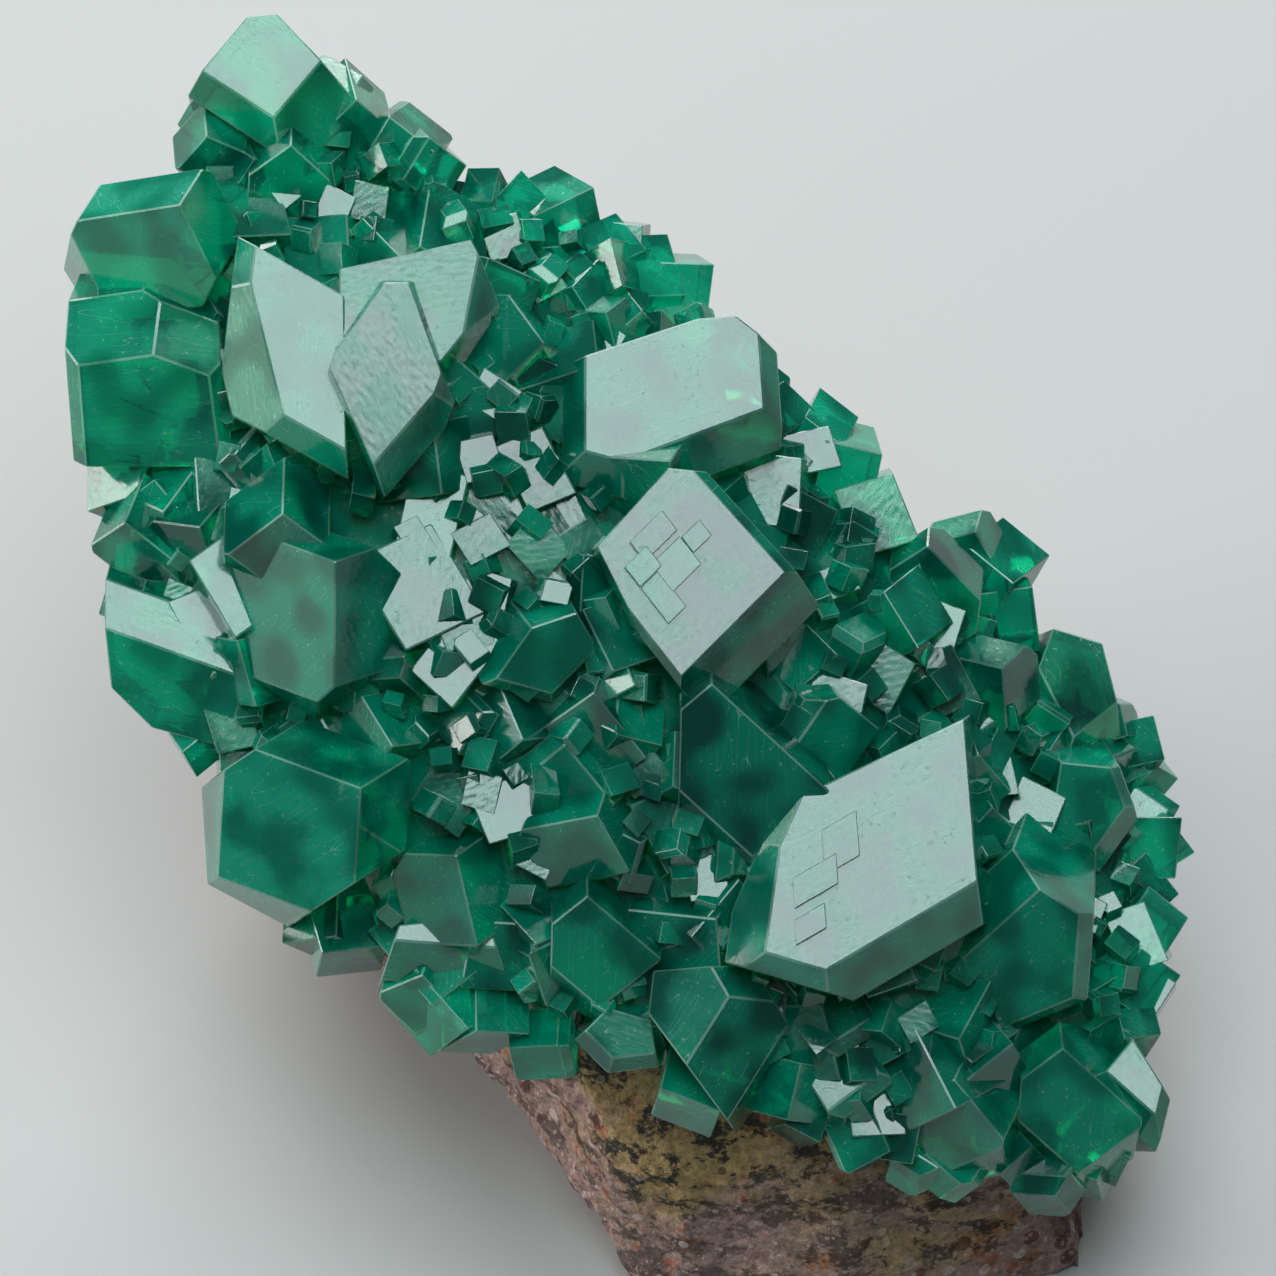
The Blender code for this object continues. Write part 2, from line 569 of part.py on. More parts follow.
def keep_outer_shell(item):
    """Drop pockets and crumbs: only the largest connected shell stays."""
    block = bmesh.new()
    block.from_mesh(item.data)
    for tidy in (False, True):
        if tidy:
            bmesh.ops.remove_doubles(block, verts=block.verts, dist=MERGE)
            bmesh.ops.dissolve_degenerate(block, edges=block.edges, dist=MERGE)
            bmesh.ops.triangulate(block, faces=block.faces)
        loose = [face for shell in face_shells(block)[:-1] for face in shell]
        bmesh.ops.delete(block, geom=loose, context="FACES")
    bmesh.ops.recalc_face_normals(block, faces=block.faces)
    block.to_mesh(item.data)
    block.free()


def bed_cutter(name, lift, direction):
    """Wide solid with the crust's rounded surface as one side, for cutting the seam."""
    middle = Vector((0, 0, crust_height(0, 0) + lift))
    toward = Vector((0, 0, direction))
    rings = [crust_ring(shrink, lift + thinning) for shrink, thinning in BED_RINGS]
    rings.append([point + toward * CUTTER_SIDE for point in rings[-1]])
    return ring_solid(name, rings, middle, middle + toward * CUTTER_END)


def build_crust():
    """Base of the crust with every block joined to it, cut underneath along the seam."""
    bottom_lift = -CRUST_THICKNESS - UNDERSIDE_SPARE
    rings = [crust_ring(shrink, lift) for shrink, lift in BASE_RINGS]
    rings += [crust_ring(shrink, bottom_lift) for shrink in BASE_UNDERSIDE]
    middle = Vector((0, 0, crust_height(0, 0)))
    crust = ring_solid("dioptase_crystals", rings, middle, middle + Vector((0, 0, bottom_lift)))
    blocks = [table_block(**block) for block in TABLES.values()]
    blocks += [peak_block(**block) for block in PEAKS.values()]
    blocks += step_plates()
    blocks += plate_blocks()
    blocks += fill_blocks()
    apply_boolean(crust, "UNION", [object_from("block", block) for block in blocks])
    apply_boolean(crust, "DIFFERENCE", [bed_cutter("bed", -CRUST_THICKNESS, -1)])
    keep_outer_shell(crust)
    return crust


def stance_matrix():
    """Turn from the viewing plane (u, v, w) to ground axes."""
    tilt = math.radians(VIEW_TILT)
    upright = Matrix(((1, 0, 0),
                      (0, math.sin(tilt), -math.cos(tilt)),
                      (0, math.cos(tilt), math.sin(tilt))))
    return Matrix.Rotation(math.radians(LONG_AXIS_TURN), 3, "Z") @ upright


def foot_point(x, y):
    """Place in the viewing plane's axes of a point on the foot."""
    tilt = math.radians(VIEW_TILT)
    return Vector((x, y * math.sin(tilt) - FOOT_DROP * math.cos(tilt),
                   -FOOT_DROP * math.sin(tilt) - y * math.cos(tilt)))


def with_midpoints(loop):
    """Closed loop with a point added in the middle of each step."""
    points = []
    for index, point in enumerate(loop):
        points.append(point)
        points.append(point.lerp(loop[(index + 1) % len(loop)], 0.5))
    return points


def rock_relief(point):
    """Push on a point of the rock's side: broad and fine lumps, and ledges in uneven steps."""
    push = Vector((0.0, 0.0, 0.0))
    for scale, height in (BROAD_LUMPS, FINE_LUMPS):
        push += noise.noise_vector(point * scale) * height
    level = point.y + LEDGE_WANDER * noise.noise(point * BROAD_LUMPS[0])
    ledge = level / LEDGE_STEP - math.floor(level / LEDGE_STEP)
    outward = Vector((point.x, point.y, 0.0)).normalized()
    return push + outward * (ledge - 0.5) * LEDGE_DEPTH


def build_rock():
    """Host rock: a lumpy loft from inside the crust down to the flat foot, cut at the seam."""
    noise.seed_set(ROCK_SEED)
    lift = ROCK_OVERLAP + RIM_THINNING - CRUST_THICKNESS
    seam = with_midpoints([Vector((u, v, crust_height(u, v) + lift)) for u, v in ROCK_TOP])
    foot = with_midpoints([foot_point(x, y) for x, y in ROCK_FOOT])
    rings = [seam]
    for level in range(1, ROCK_LEVELS):
        points = [start.lerp(end, level / ROCK_LEVELS) for start, end in zip(seam, foot)]
        strength = min(1.0, (ROCK_LEVELS - level) / 2)
        rings.append([point + rock_relief(point) * strength for point in points])
    rings.append(foot)
    top = Vector((0, 0, crust_height(0, 0) + lift))
    rock = ring_solid("matrix_rock", rings, top, foot_point(*FOOT_MIDDLE))
    over = bed_cutter("over", -CRUST_THICKNESS - SEAM_GAP, 1)
    apply_boolean(rock, "DIFFERENCE", [over])
    keep_outer_shell(rock)
    return rock


def stand(item):
    """Bring a finished object from the viewing plane to its stance in metres."""
    place = Matrix.Translation((-PLAN_CENTRE[0], -PLAN_CENTRE[1], FOOT_DROP))
    item.data.transform(Matrix.Scale(MM, 4) @ place @ stance_matrix().to_4x4())
    item.data.update()


def paint(item, name, colour, roughness):
    """Give an object its own plain material."""
    material = bpy.data.materials.new(name)
    material.use_nodes = True
    surface = material.node_tree.nodes["Principled BSDF"]
    surface.inputs["Base Color"].default_value = (*colour, 1.0)
    surface.inputs["Roughness"].default_value = roughness
    surface.inputs["Metallic"].default_value = 0.0
    item.data.materials.clear()
    item.data.materials.append(material)


def main():
    for item in list(bpy.data.objects):
        bpy.data.objects.remove(item)
    crust = build_crust()
    rock = build_rock()
    for item in (crust, rock):
        stand(item)
    paint(crust, "dioptase", (0.01, 0.30, 0.17), 0.25)
    paint(rock, "host_rock", (0.27, 0.17, 0.11), 0.9)


main()
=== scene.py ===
import itertools
import math
import random
import time

import bpy
from mathutils import Matrix, Vector, noise


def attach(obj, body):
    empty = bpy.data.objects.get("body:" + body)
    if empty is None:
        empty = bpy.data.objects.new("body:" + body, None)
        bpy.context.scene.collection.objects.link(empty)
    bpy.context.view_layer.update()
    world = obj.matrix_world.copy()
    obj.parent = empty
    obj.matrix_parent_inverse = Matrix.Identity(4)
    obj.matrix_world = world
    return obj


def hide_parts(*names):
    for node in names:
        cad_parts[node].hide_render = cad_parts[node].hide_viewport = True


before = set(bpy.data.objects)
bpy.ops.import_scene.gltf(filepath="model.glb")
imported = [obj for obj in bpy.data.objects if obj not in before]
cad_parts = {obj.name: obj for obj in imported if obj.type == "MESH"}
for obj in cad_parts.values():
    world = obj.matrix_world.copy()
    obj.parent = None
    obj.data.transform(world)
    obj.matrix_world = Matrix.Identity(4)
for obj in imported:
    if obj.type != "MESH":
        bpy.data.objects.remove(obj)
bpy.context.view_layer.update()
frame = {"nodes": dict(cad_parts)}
print("frame loaded:", ", ".join(frame["nodes"]))

# Everything is laid out in millimetres in the plane that faces the camera: u right, v up and
# w toward the camera. toWorld stands it on the ground in metres.
stance = {"tilt": 55.0, "turn": 42.0, "footDrop": 29.0, "planCentre": (-2.0, 1.2)}


def toWorld():
    tilt = math.radians(stance["tilt"])
    upright = Matrix(((1, 0, 0, 0),
                      (0, math.sin(tilt), -math.cos(tilt), 0),
                      (0, math.cos(tilt), math.sin(tilt), 0),
                      (0, 0, 0, 1)))
    turn = Matrix.Rotation(math.radians(stance["turn"]), 4, "Z")
    right, back = stance["planCentre"]
    place = Matrix.Translation((-right, -back, stance["footDrop"]))
    return Matrix.Scale(0.001, 4) @ place @ turn @ upright


# Small helpers for the modelling

def pickNone():
    if bpy.context.object and bpy.context.object.mode != "OBJECT":
        bpy.ops.object.mode_set(mode="OBJECT")
    bpy.ops.object.select_all(action="DESELECT")


def pick(*items):
    pickNone()
    for item in items:
        item.select_set(True)
    bpy.context.view_layer.objects.active = items[0]


def lean(right, up):
    return Vector((math.tan(math.radians(right)), math.tan(math.radians(up)), 1.0)).normalized()


def around(first, second, degrees):
    turn = math.radians(degrees)
    return first * math.cos(turn) + second * math.sin(turn)


# The dioptase crust
crustShape = {
    "longAxis": (0.62, -0.78), "thickness": 5.0, "rimThinning": 1.5,
    "endFall": 6.0, "endReach": 27.0, "rimFallRight": 7.0, "rimFallLeft": 3.0,
    "rimReach": 13.0, "crestAlong": -3.0, "crestAcross": -2.0,
    "bedRings": ((0.35, 0.0), (0.72, 0.0), (0.9, -0.8)), "undersideRings": (0.9, 0.5),
    "bedGrain": (0.6, -0.8, 0.1), "bedTone": 0.5, "toneSeed": 11,
    "outline": [
        (-14.5, 23.5), (-11.5, 20.8), (-8.5, 19.3), (-4.8, 18.2), (-1.2, 16.4), (1.8, 14.4),
        (4.2, 12.0), (6.0, 9.4), (8.6, 6.6), (11.4, 3.9), (14.4, 2.3), (16.8, -0.8),
        (19.4, -2.8), (21.3, -6.0), (21.4, -10.4), (21.2, -14.4), (20.6, -17.6),
        (21.4, -19.8), (18.6, -21.6), (13.6, -21.2), (9.0, -20.6), (5.4, -18.6),
        (1.2, -17.2), (-4.2, -16.1), (-7.2, -14.2), (-10.4, -12.4), (-15.0, -10.2),
        (-16.4, -5.6), (-20.4, -2.8), (-19.6, 1.2), (-21.6, 5.0), (-22.2, 10.2),
        (-20.8, 13.8), (-21.2, 16.8), (-18.4, 18.6), (-16.8, 21.0)],
}

# A dioptase crystal: rhombohedron faces whose normals stand 51 degrees off the long axis, and
# prism sides that meet them at 48. A block of half width 1 has its side edges 1.486 from the axis.
habit = {"faceToAxis": 51.0, "edgeToAxis": 1.486, "bandSlope": 48.0, "steepSide": 0.09,
         "undercut": 0.05, "sink": 3.2, "farSide": 1.6, "bigFrost": 0.06, "smallFrost": 0.04,
         "bigCube": 26.0, "smallCube": 9.0}
cutting = {"tolerance": 0.00001, "mergeGap": 0.01, "flatAngle": 0.002}

# Each face's own flat coordinates: how far they shift from face to face and copy to copy
faceMap = {"toneShift": 37.0, "sideShift": 11.0, "upShift": 7.0, "copyShift": (31.0, 17.0),
           "shortest": 0.05, "spareAxis": (0.3, 1.0, 0.2)}

# Big crystals with one face to the camera: its outline, height, lean and sloping bands
faceBlocks = [
    ([(-17.4, 22.6), (-14.5, 20.7), (-12.6, 23.0), (-14.4, 24.9), (-15.6, 24.8)],
     3.4, (-4, 16), [1.0, 1.9, 0, 0, 0]),
    ([(-22.0, 6.8), (-16.6, 6.8), (-17.0, 10.4), (-19.2, 11.2), (-22.2, 10.8)],
     2.4, (-4, -28), [0, 0.5, 1.6, 2.0, 0.6]),
    ([(-15.3, 14.0), (-14.0, 8.8), (-11.5, 7.4), (-11.6, 13.5), (-15.1, 15.5)],
     3.6, (2, 6), [2.0, 0.9, 0, 0, 0.8]),
    ([(-12.1, 10.5), (-10.4, 6.8), (-8.0, 9.6), (-7.7, 10.4), (-9.0, 14.0),
      (-10.0, 14.0), (-11.8, 11.4)], 4.5, (1, 2), [0, 1.2, 0.9, 0, 0, 0, 0]),
    ([(-11.8, 12.0), (-8.5, 10.0), (-6.9, 12.0), (-6.3, 15.2), (-6.6, 15.8), (-11.8, 14.6)],
     2.9, (4, 20), [0, 0, 2.1, 0, 0, 0]),
    ([(-2.1, 7.4), (-0.6, 7.0), (5.0, 9.1), (4.8, 12.1), (3.9, 12.8), (2.4, 12.7),
      (-2.1, 11.2)], 3.6, (4, 14), [1.2, 1.5, 0.8, 0, 0, 0, 0.9]),
    ([(-1.6, 3.6), (-0.4, 1.2), (1.7, -1.5), (5.8, 2.6), (2.2, 6.6), (1.2, 6.7)],
     3.4, (2, 4), [0, 0.3, 2.0, 0.4, 0, 0]),
    ([(5.6, -8.2), (5.0, -12.4), (7.4, -13.1), (13.4, -9.6), (12.9, -3.2), (6.5, -6.2)],
     3.8, (0, 6), [1.6, 0.8, 1.6, 0, 0, 0.8]),
    ([(-21.2, 0.4), (-21.0, -2.0), (-19.4, -3.6), (-16.4, -4.4), (-15.6, -1.6)],
     1.8, (-10, -26), [0, 0, 0, 0.5, 1.4]),
    ([(-5.6, -1.6), (-3.4, -2.2), (-1.6, -0.4), (-2.4, 1.0), (-4.2, 0.4)],
     1.6, (18, -22), [0.6, 0.6, 0, 0, 0]),
    ([(0.4, -14.9), (1.9, -16.9), (3.6, -14.2), (2.9, -13.0), (0.6, -13.2)],
     2.4, (-12, 10), [0, 2.2, 1.4, 0, 0]),
    ([(-2.1, -15.6), (-1.0, -16.7), (0.7, -16.5), (0.5, -15.2), (-1.2, -14.7)],
     1.8, (0, 2), [0.6, 0.6, 0, 0, 0]),
    ([(-9.7, -12.0), (-5.6, -12.3), (-5.8, -11.7), (-7.6, -11.2), (-9.5, -11.4)],
     1.6, (0, 14), [1.4, 0, 0, 0, 0]),
    ([(18.8, -17.4), (20.8, -19.2), (21.1, -18.0), (19.9, -16.1)],
     3.0, (4, 8), [1.0, 0.5, 0, 0]),
    ([(13.0, -12.8), (14.6, -15.6), (17.4, -14.4), (17.6, -11.0), (16.0, -10.0)],
     2.6, (-6, -24), [0.8, 0.6, 0.6, 0, 1.6]),
    ([(16.2, -1.2), (17.6, -4.0), (19.4, -2.6), (18.8, -0.2), (16.8, 0.4)],
     2.4, (10, 12), [0.8, 1.2, 0, 0, 0]),
    ([(16.6, -7.6), (18.2, -8.8), (19.6, -6.8), (19.0, -5.2), (17.0, -5.0)],
     2.6, (4, -12), [0.5, 1.0, 0.4, 0, 0]),
]

# Big crystals with a corner to the camera: the corner, its height, the long axis's lean,
# the turn about it and how far its six prism sides reach
cornerBlocks = [
    ((-18.1, 17.1), 5.6, (6, 12), 2, [2.2, 1.8, 3.4, 3.8, 3.4, 2.6]),
    ((-10.9, -5.9), 5.2, (14, 10), -26, [2.6, 2.4, 3.6, 4.6, 4.4, 3.0]),
    ((-11.9, 3.0), 4.6, (2, 16), -30, [3.4, 1.6, 3.6, 4.2, 4.4, 3.8]),
    ((-14.0, 4.9), 4.2, (0, 14), 30, [2.8, 2.4, 2.4, 2.2, 1.6, 1.8]),
    ((2.9, -1.8), 3.4, (2, 34), 30, [3.0, 1.2, 1.2, 3.0, 4.8, 4.8]),
    ((-20.4, 4.6), 2.6, (-14, 10), 20, [2.0, 2.2, 1.6, 1.8, 2.2, 2.2]),
    ((-17.4, 4.4), 2.0, (6, 4), -10, [1.9, 1.8, 1.6, 1.8, 2.4, 2.0]),
    ((-13.8, 19.6), 2.8, (4, 20), 28, [1.9, 1.2, 1.6, 2.2, 2.0, 1.8]),
    ((-17.2, 20.0), 2.2, (-6, 8), 40, [1.4, 1.4, 1.6, 1.5, 1.4, 1.4]),
    ((11.6, 3.7), 3.0, (2, 22), 24, [1.6, 1.0, 1.4, 2.3, 3.2, 2.4]),
    ((13.6, 4.3), 2.6, (8, 12), 10, [1.4, 1.0, 1.6, 2.4, 3.0, 1.8]),
    ((14.6, -1.2), 3.2, (10, 8), -18, [2.0, 1.4, 2.0, 2.6, 3.0, 2.0]),
    ((17.0, -16.4), 2.8, (4, 26), 30, [2.2, 1.4, 1.6, 2.6, 3.6, 3.4]),
    ((12.6, -17.6), 2.4, (-6, 20), 12, [2.0, 1.6, 1.8, 2.4, 2.6, 2.4]),
    ((-8.6, -13.4), 2.2, (-4, 10), 16, [1.7, 1.5, 1.6, 1.8, 1.8, 1.8]),
    ((-7.2, -8.6), 2.4, (2, 20), -14, [2.4, 1.6, 1.8, 2.4, 2.8, 2.8]),
    ((-1.6, -7.0), 2.4, (10, 10), 8, [2.2, 1.4, 2.4, 2.6, 2.2, 2.2]),
    ((-2.0, -10.2), 2.2, (2, 26), 30, [2.2, 1.2, 1.4, 2.4, 3.0, 3.0]),
]

# Small pale crystals, given one by one: u, v, half width, turn
paleBlocks = [
    (-5.3, 16.1, 0.9, 60), (-3.8, 14.4, 0.8, 75), (-0.6, 16.0, 0.75, 40), (-12.0, 17.2, 0.75, 20),
    (-10.6, 17.4, 0.8, 35), (-4.0, 6.8, 1.15, 70), (-6.2, 7.2, 0.9, 60), (-8.0, 5.2, 1.3, 30),
    (-6.2, 4.0, 0.8, 75), (-5.6, 9.6, 0.8, 15), (-3.8, 3.6, 0.95, 0), (-2.0, 3.6, 0.8, 80),
    (-7.0, 0.9, 1.1, 65), (-7.0, -0.7, 1.3, 5), (-5.6, 1.9, 0.5, 30), (-4.2, 0.2, 0.8, 45),
    (-7.4, -6.3, 1.1, 10), (-6.1, -6.0, 0.8, 30), (-5.0, -6.6, 1.2, 65), (8.0, -2.4, 1.0, 30),
    (10.0, -1.6, 0.9, 15), (12.4, -1.6, 1.0, 70), (14.4, -5.2, 0.85, 55), (16.0, -7.0, 0.9, 20),
    (16.7, -2.0, 0.6, 0), (5.0, -14.4, 1.2, 35), (9.6, -15.6, 1.3, 75), (9.6, -18.6, 1.25, 50),
    (-1.0, -12.8, 1.1, 55), (19.6, -5.0, 0.9, 75), (21.0, -8.4, 1.1, 80), (20.2, -12.0, 1.0, 65),
    (20.7, -14.2, 1.0, 10), (18.2, -11.0, 0.7, 20), (-17.2, 0.9, 0.9, 70), (-18.3, 1.7, 0.6, 25),
    (5.4, 6.0, 1.1, 40), (7.0, 7.6, 0.9, 60), (6.3, 6.9, 0.5, 5), (2.8, -9.2, 0.9, 50),
    (12.0, 0.4, 0.9, 25), (-16.2, -3.1, 1.0, 60), (-3.9, -8.4, 0.7, 20), (0.0, -5.0, 0.8, 80),
]

# Growth steps on the big faces: the face's number, two edge directions, then plates with
# place, half length, half width and height
growthSteps = [
    (6, (0.71, 0.70), (0.61, -0.79), [
        (0.6, 4.0, 0.9, 0.5, 0.30), (1.5, 2.9, 0.8, 0.7, 0.22), (0.2, 2.8, 0.6, 0.5, 0.34),
        (1.0, 1.6, 0.5, 0.9, 0.20), (2.3, 4.0, 0.5, 0.4, 0.25)]),
    (7, (0.86, 0.50), (0.08, -1.0), [
        (7.0, -9.6, 1.0, 0.6, 0.25), (8.0, -8.1, 0.8, 0.9, 0.20), (6.8, -11.3, 0.7, 0.5, 0.30)]),
]
stepShape = {"cube": 8.0, "root": 0.6, "frost": 0.03}

fill = {
    "seed": 41, "tries": 5200, "area": ((-23.0, 23.0), (-22.0, 25.0)), "edge": 0.93,
    "fineFrom": 5.0, "fineSpacing": 1.38, "coarseSpacing": 1.8, "fineHalf": (0.6, 1.1),
    "coarseHalf": (0.95, 1.75), "lean": ((-40, 40), (-38, 42)), "lift": (0.2, 0.9),
    "stretch": ((0.8, 1.2), (0.85, 1.4)), "sides": (0, 0, 0.86), "clearance": 0.8,
    "rimSpacing": 1.7, "rimShrink": 0.965, "rimHalf": (0.8, 1.25), "rimClearance": 0.6,
    "peakClearance": 0.62, "paleSeed": 7, "paleLean": ((-5, 5), (0, 10)),
    "paleLift": (0.5, 1.0), "paleStretch": ((0.75, 1.1), (0.9, 1.3)),
    "seedStretch": ((0.87, 1.1), (0.95, 1.28)), "seedSides": (0, 0.86), "toneSeed": 3,
}
tiny = {"seed": 23, "tries": 2600, "spacing": 1.05, "half": (0.32, 0.6), "lift": (0.7, 1.5),
        "clearance": 0.3, "skirtSeed": 29, "skirtDrop": (1.2, 3.0), "skirtHalf": (0.5, 0.95),
        "skirtShrink": 0.925, "skirtSpacing": 1.25, "skirtSplay": (0.8, 2.0)}


def crustAxes(u, v):
    right, up = crustShape["longAxis"]
    return right * u + up * v, right * v - up * u


def crustHeight(u, v):
    along, across = crustAxes(u, v)
    onRight = across > crustShape["crestAcross"]
    rimFall = crustShape["rimFallRight"] if onRight else crustShape["rimFallLeft"]
    endPart = ((along - crustShape["crestAlong"]) / crustShape["endReach"]) ** 2
    rimPart = ((across - crustShape["crestAcross"]) / crustShape["rimReach"]) ** 2
    return -crustShape["endFall"] * endPart - rimFall * rimPart


def startBlock(middle, size):
    pickNone()
    bpy.ops.mesh.primitive_cube_add(size=size, location=middle)
    block = bpy.context.object
    bpy.ops.object.transform_apply(location=True, rotation=False, scale=False)
    block.data.materials.append(crystalStuff)
    block.data.materials.append(edgeStuff)
    return block


# Cleaves a block along planes, then bevels its edges to the thin frosted strips
def cleave(block, planes, frost):
    bpy.ops.object.mode_set(mode="EDIT")
    bpy.ops.mesh.select_mode(type="VERT")
    for point, normal in planes:
        bpy.ops.mesh.select_all(action="SELECT")
        bpy.ops.mesh.bisect(plane_co=point, plane_no=normal, use_fill=True, clear_outer=True,
                            threshold=cutting["tolerance"])
    bpy.ops.mesh.select_all(action="SELECT")
    bpy.ops.mesh.remove_doubles(threshold=cutting["mergeGap"])
    bpy.ops.mesh.dissolve_limited(angle_limit=cutting["flatAngle"])
    bpy.ops.mesh.select_all(action="SELECT")
    bpy.ops.mesh.bevel(offset=frost, segments=1, affect="EDGES", clamp_overlap=True, material=1)
    bpy.ops.mesh.select_all(action="SELECT")
    bpy.ops.mesh.normals_make_consistent(inside=False)
    bpy.ops.object.mode_set(mode="OBJECT")
    return block


# Gives each face its own flat millimetre coordinates along the crystal's axis, and a tone
def markFaces(block, axis, tone):
    mesh = block.data
    layer = mesh.uv_layers.new(name="faceMap")
    toneLayer = mesh.attributes.new("tone", "FLOAT", "FACE")
    for poly in mesh.polygons:
        toneLayer.data[poly.index].value = tone
        normal = poly.normal
        along = axis - normal * axis.dot(normal)
        if along.length < faceMap["shortest"]:
            along = Vector(faceMap["spareAxis"]).cross(normal)
        along.normalize()
        across = normal.cross(along)
        shift = (faceMap["toneShift"] * tone + faceMap["sideShift"] * normal.x
                 + faceMap["upShift"] * normal.y)
        for loop in poly.loop_indices:
            place = mesh.vertices[mesh.loops[loop].vertex_index].co
            layer.data[loop].uv = (place.dot(along) + shift, place.dot(across) - shift)
    return block


def faceMiddle(outline, rise):
    uMid = sum(point[0] for point in outline) / len(outline)
    vMid = sum(point[1] for point in outline) / len(outline)
    return Vector((uMid, vMid, crustHeight(uMid, vMid) + rise))


def onFace(u, v, middle, front):
    drop = (front.x * (u - middle.x) + front.y * (v - middle.y)) / front.z
    return Vector((u, v, middle.z - drop))


def makeFaceBlock(outline, rise, leaning, bands, tone):
    middle = faceMiddle(outline, rise)
    front = lean(*leaning)
    corners = [onFace(u, v, middle, front) for u, v in outline]
    slope = math.radians(habit["bandSlope"])
    planes = [(middle, front)]
    for index, corner in enumerate(corners):
        after = corners[(index + 1) % len(corners)]
        outward = (after - corner).cross(front).normalized()
        if bands[index]:
            planes.append((corner, outward * math.sin(slope) + front * math.cos(slope)))
            planes.append((corner + outward * bands[index], outward - front * habit["undercut"]))
        else:
            planes.append((corner, outward + front * habit["steepSide"]))
    planes.append((middle - front * (rise + habit["sink"]), -front))
    block = cleave(startBlock(middle, habit["bigCube"]), planes, habit["bigFrost"])
    longest = max(range(len(corners)),
                  key=lambda spot: (corners[(spot + 1) % len(corners)] - corners[spot]).length)
    along = corners[(longest + 1) % len(corners)] - corners[longest]
    return markFaces(block, along.normalized(), tone)


def makeCornerBlock(tip, rise, leaning, spin, reach, tone):
    corner = Vector((tip[0], tip[1], crustHeight(*tip) + rise))
    axis = lean(*leaning)
    right = Vector((1.0, 0.0, 0.0))
    first = (right - axis * right.dot(axis)).normalized()
    second = axis.cross(first)
    first, second = around(first, second, spin), around(first, second, spin + 90)
    tilt = math.radians(habit["faceToAxis"])
    planes = []
    for step in range(3):
        sideways = around(first, second, 120 * step)
        planes.append((corner, sideways * math.sin(tilt) + axis * math.cos(tilt)))
    for step, distance in enumerate(reach):
        sideways = around(first, second, 30 + 60 * step)
        planes.append((corner + sideways * distance, sideways))
    planes.append((corner - axis * (rise + habit["sink"]), -axis))
    block = cleave(startBlock(corner, habit["bigCube"]), planes, habit["bigFrost"])
    return markFaces(block, axis, tone)


# One small whole crystal of half width 1 with its front face square to w
def makeSeedCrystal(stretch, sides):
    front = Vector((0.0, 0.0, 1.0))
    up = Vector((1.0, 0.0, 0.0))
    tilt = math.radians(habit["faceToAxis"])
    axis = front * math.cos(tilt) + up * math.sin(tilt)
    first = front * math.sin(tilt) - up * math.cos(tilt)
    second = axis.cross(first)
    planes = []
    for step in range(3):
        above = around(first, second, 120 * step) * math.sin(tilt) + axis * math.cos(tilt)
        grow = 1.0 if step == 0 else stretch[step - 1]
        planes.append((above * grow, above))
        planes.append((-above * (habit["farSide"] if step == 0 else grow), -above))
    if sides:
        for step in range(6):
            sideways = around(first, second, 30 + 60 * step)
            planes.append((sideways * habit["edgeToAxis"] * sides, sideways))
    block = cleave(startBlock(Vector(), habit["smallCube"]), planes, habit["smallFrost"])
    return markFaces(block, axis, 0.0)


def copySeed(seed, place, half, front, turn, tone):
    toward = math.radians(turn)
    up = Vector((math.cos(toward), math.sin(toward), 0.0))
    up = (up - front * up.dot(front)).normalized()
    side = front.cross(up)
    middle = place - front * half
    turned = Matrix((up, side, front)).transposed().to_4x4()
    twin = seed.copy()
    twin.data = seed.data.copy()
    bpy.context.scene.collection.objects.link(twin)
    twin.data.transform(Matrix.Translation(middle) @ turned @ Matrix.Scale(half, 4))
    for value in twin.data.attributes["tone"].data:
        value.value = tone
    across, upward = faceMap["copyShift"]
    for corner in twin.data.uv_layers["faceMap"].data:
        corner.uv = corner.uv * half + Vector((across * tone, upward * tone))
    return twin


def insideOutline(u, v, outline):
    inside = False
    for index, (uA, vA) in enumerate(outline):
        uB, vB = outline[index - 1]
        if (vA > v) != (vB > v) and u < uA + (v - vA) * (uB - uA) / (vB - vA):
            inside = not inside
    return inside


def nearBigCrystal(u, v, margin):
    for outline, rise, leaning, bands in faceBlocks:
        if insideOutline(u, v, outline):
            return True
        if min(math.hypot(u - p[0], v - p[1]) for p in outline) < margin:
            return True
    for tip, rise, leaning, spin, reach in cornerBlocks:
        if math.hypot(u - tip[0], v - tip[1]) < fill["peakClearance"] * max(reach):
            return True
    return False


def rimPlaces(spacing, shrink):
    outline = crustShape["outline"]
    places = []
    for index, (uA, vA) in enumerate(outline):
        uB, vB = outline[(index + 1) % len(outline)]
        steps = max(1, round(math.hypot(uB - uA, vB - vA) / spacing))
        for step in range(steps):
            share = step / steps
            places.append(((uA + (uB - uA) * share) * shrink, (vA + (vB - vA) * share) * shrink))
    return places


def draw(chance, spans):
    return [chance.uniform(*span) for span in spans]


def nearestSeed(seeds, stretch, sides):
    def misfit(entry):
        shape = entry[0]
        return abs(shape[0] - stretch[0]) + abs(shape[1] - stretch[1]) + (shape[2] != bool(sides))
    return min(seeds, key=misfit)[1]


def strew(seeds, u, v, half, chance, tone):
    front = lean(*draw(chance, fill["lean"]))
    place = Vector((u, v, crustHeight(u, v) + half * chance.uniform(*fill["lift"])))
    stretch = draw(chance, fill["stretch"])
    sides = chance.choice(fill["sides"])
    seed = nearestSeed(seeds, stretch, sides)
    return copySeed(seed, place, half, front, chance.uniform(0, 360), tone)


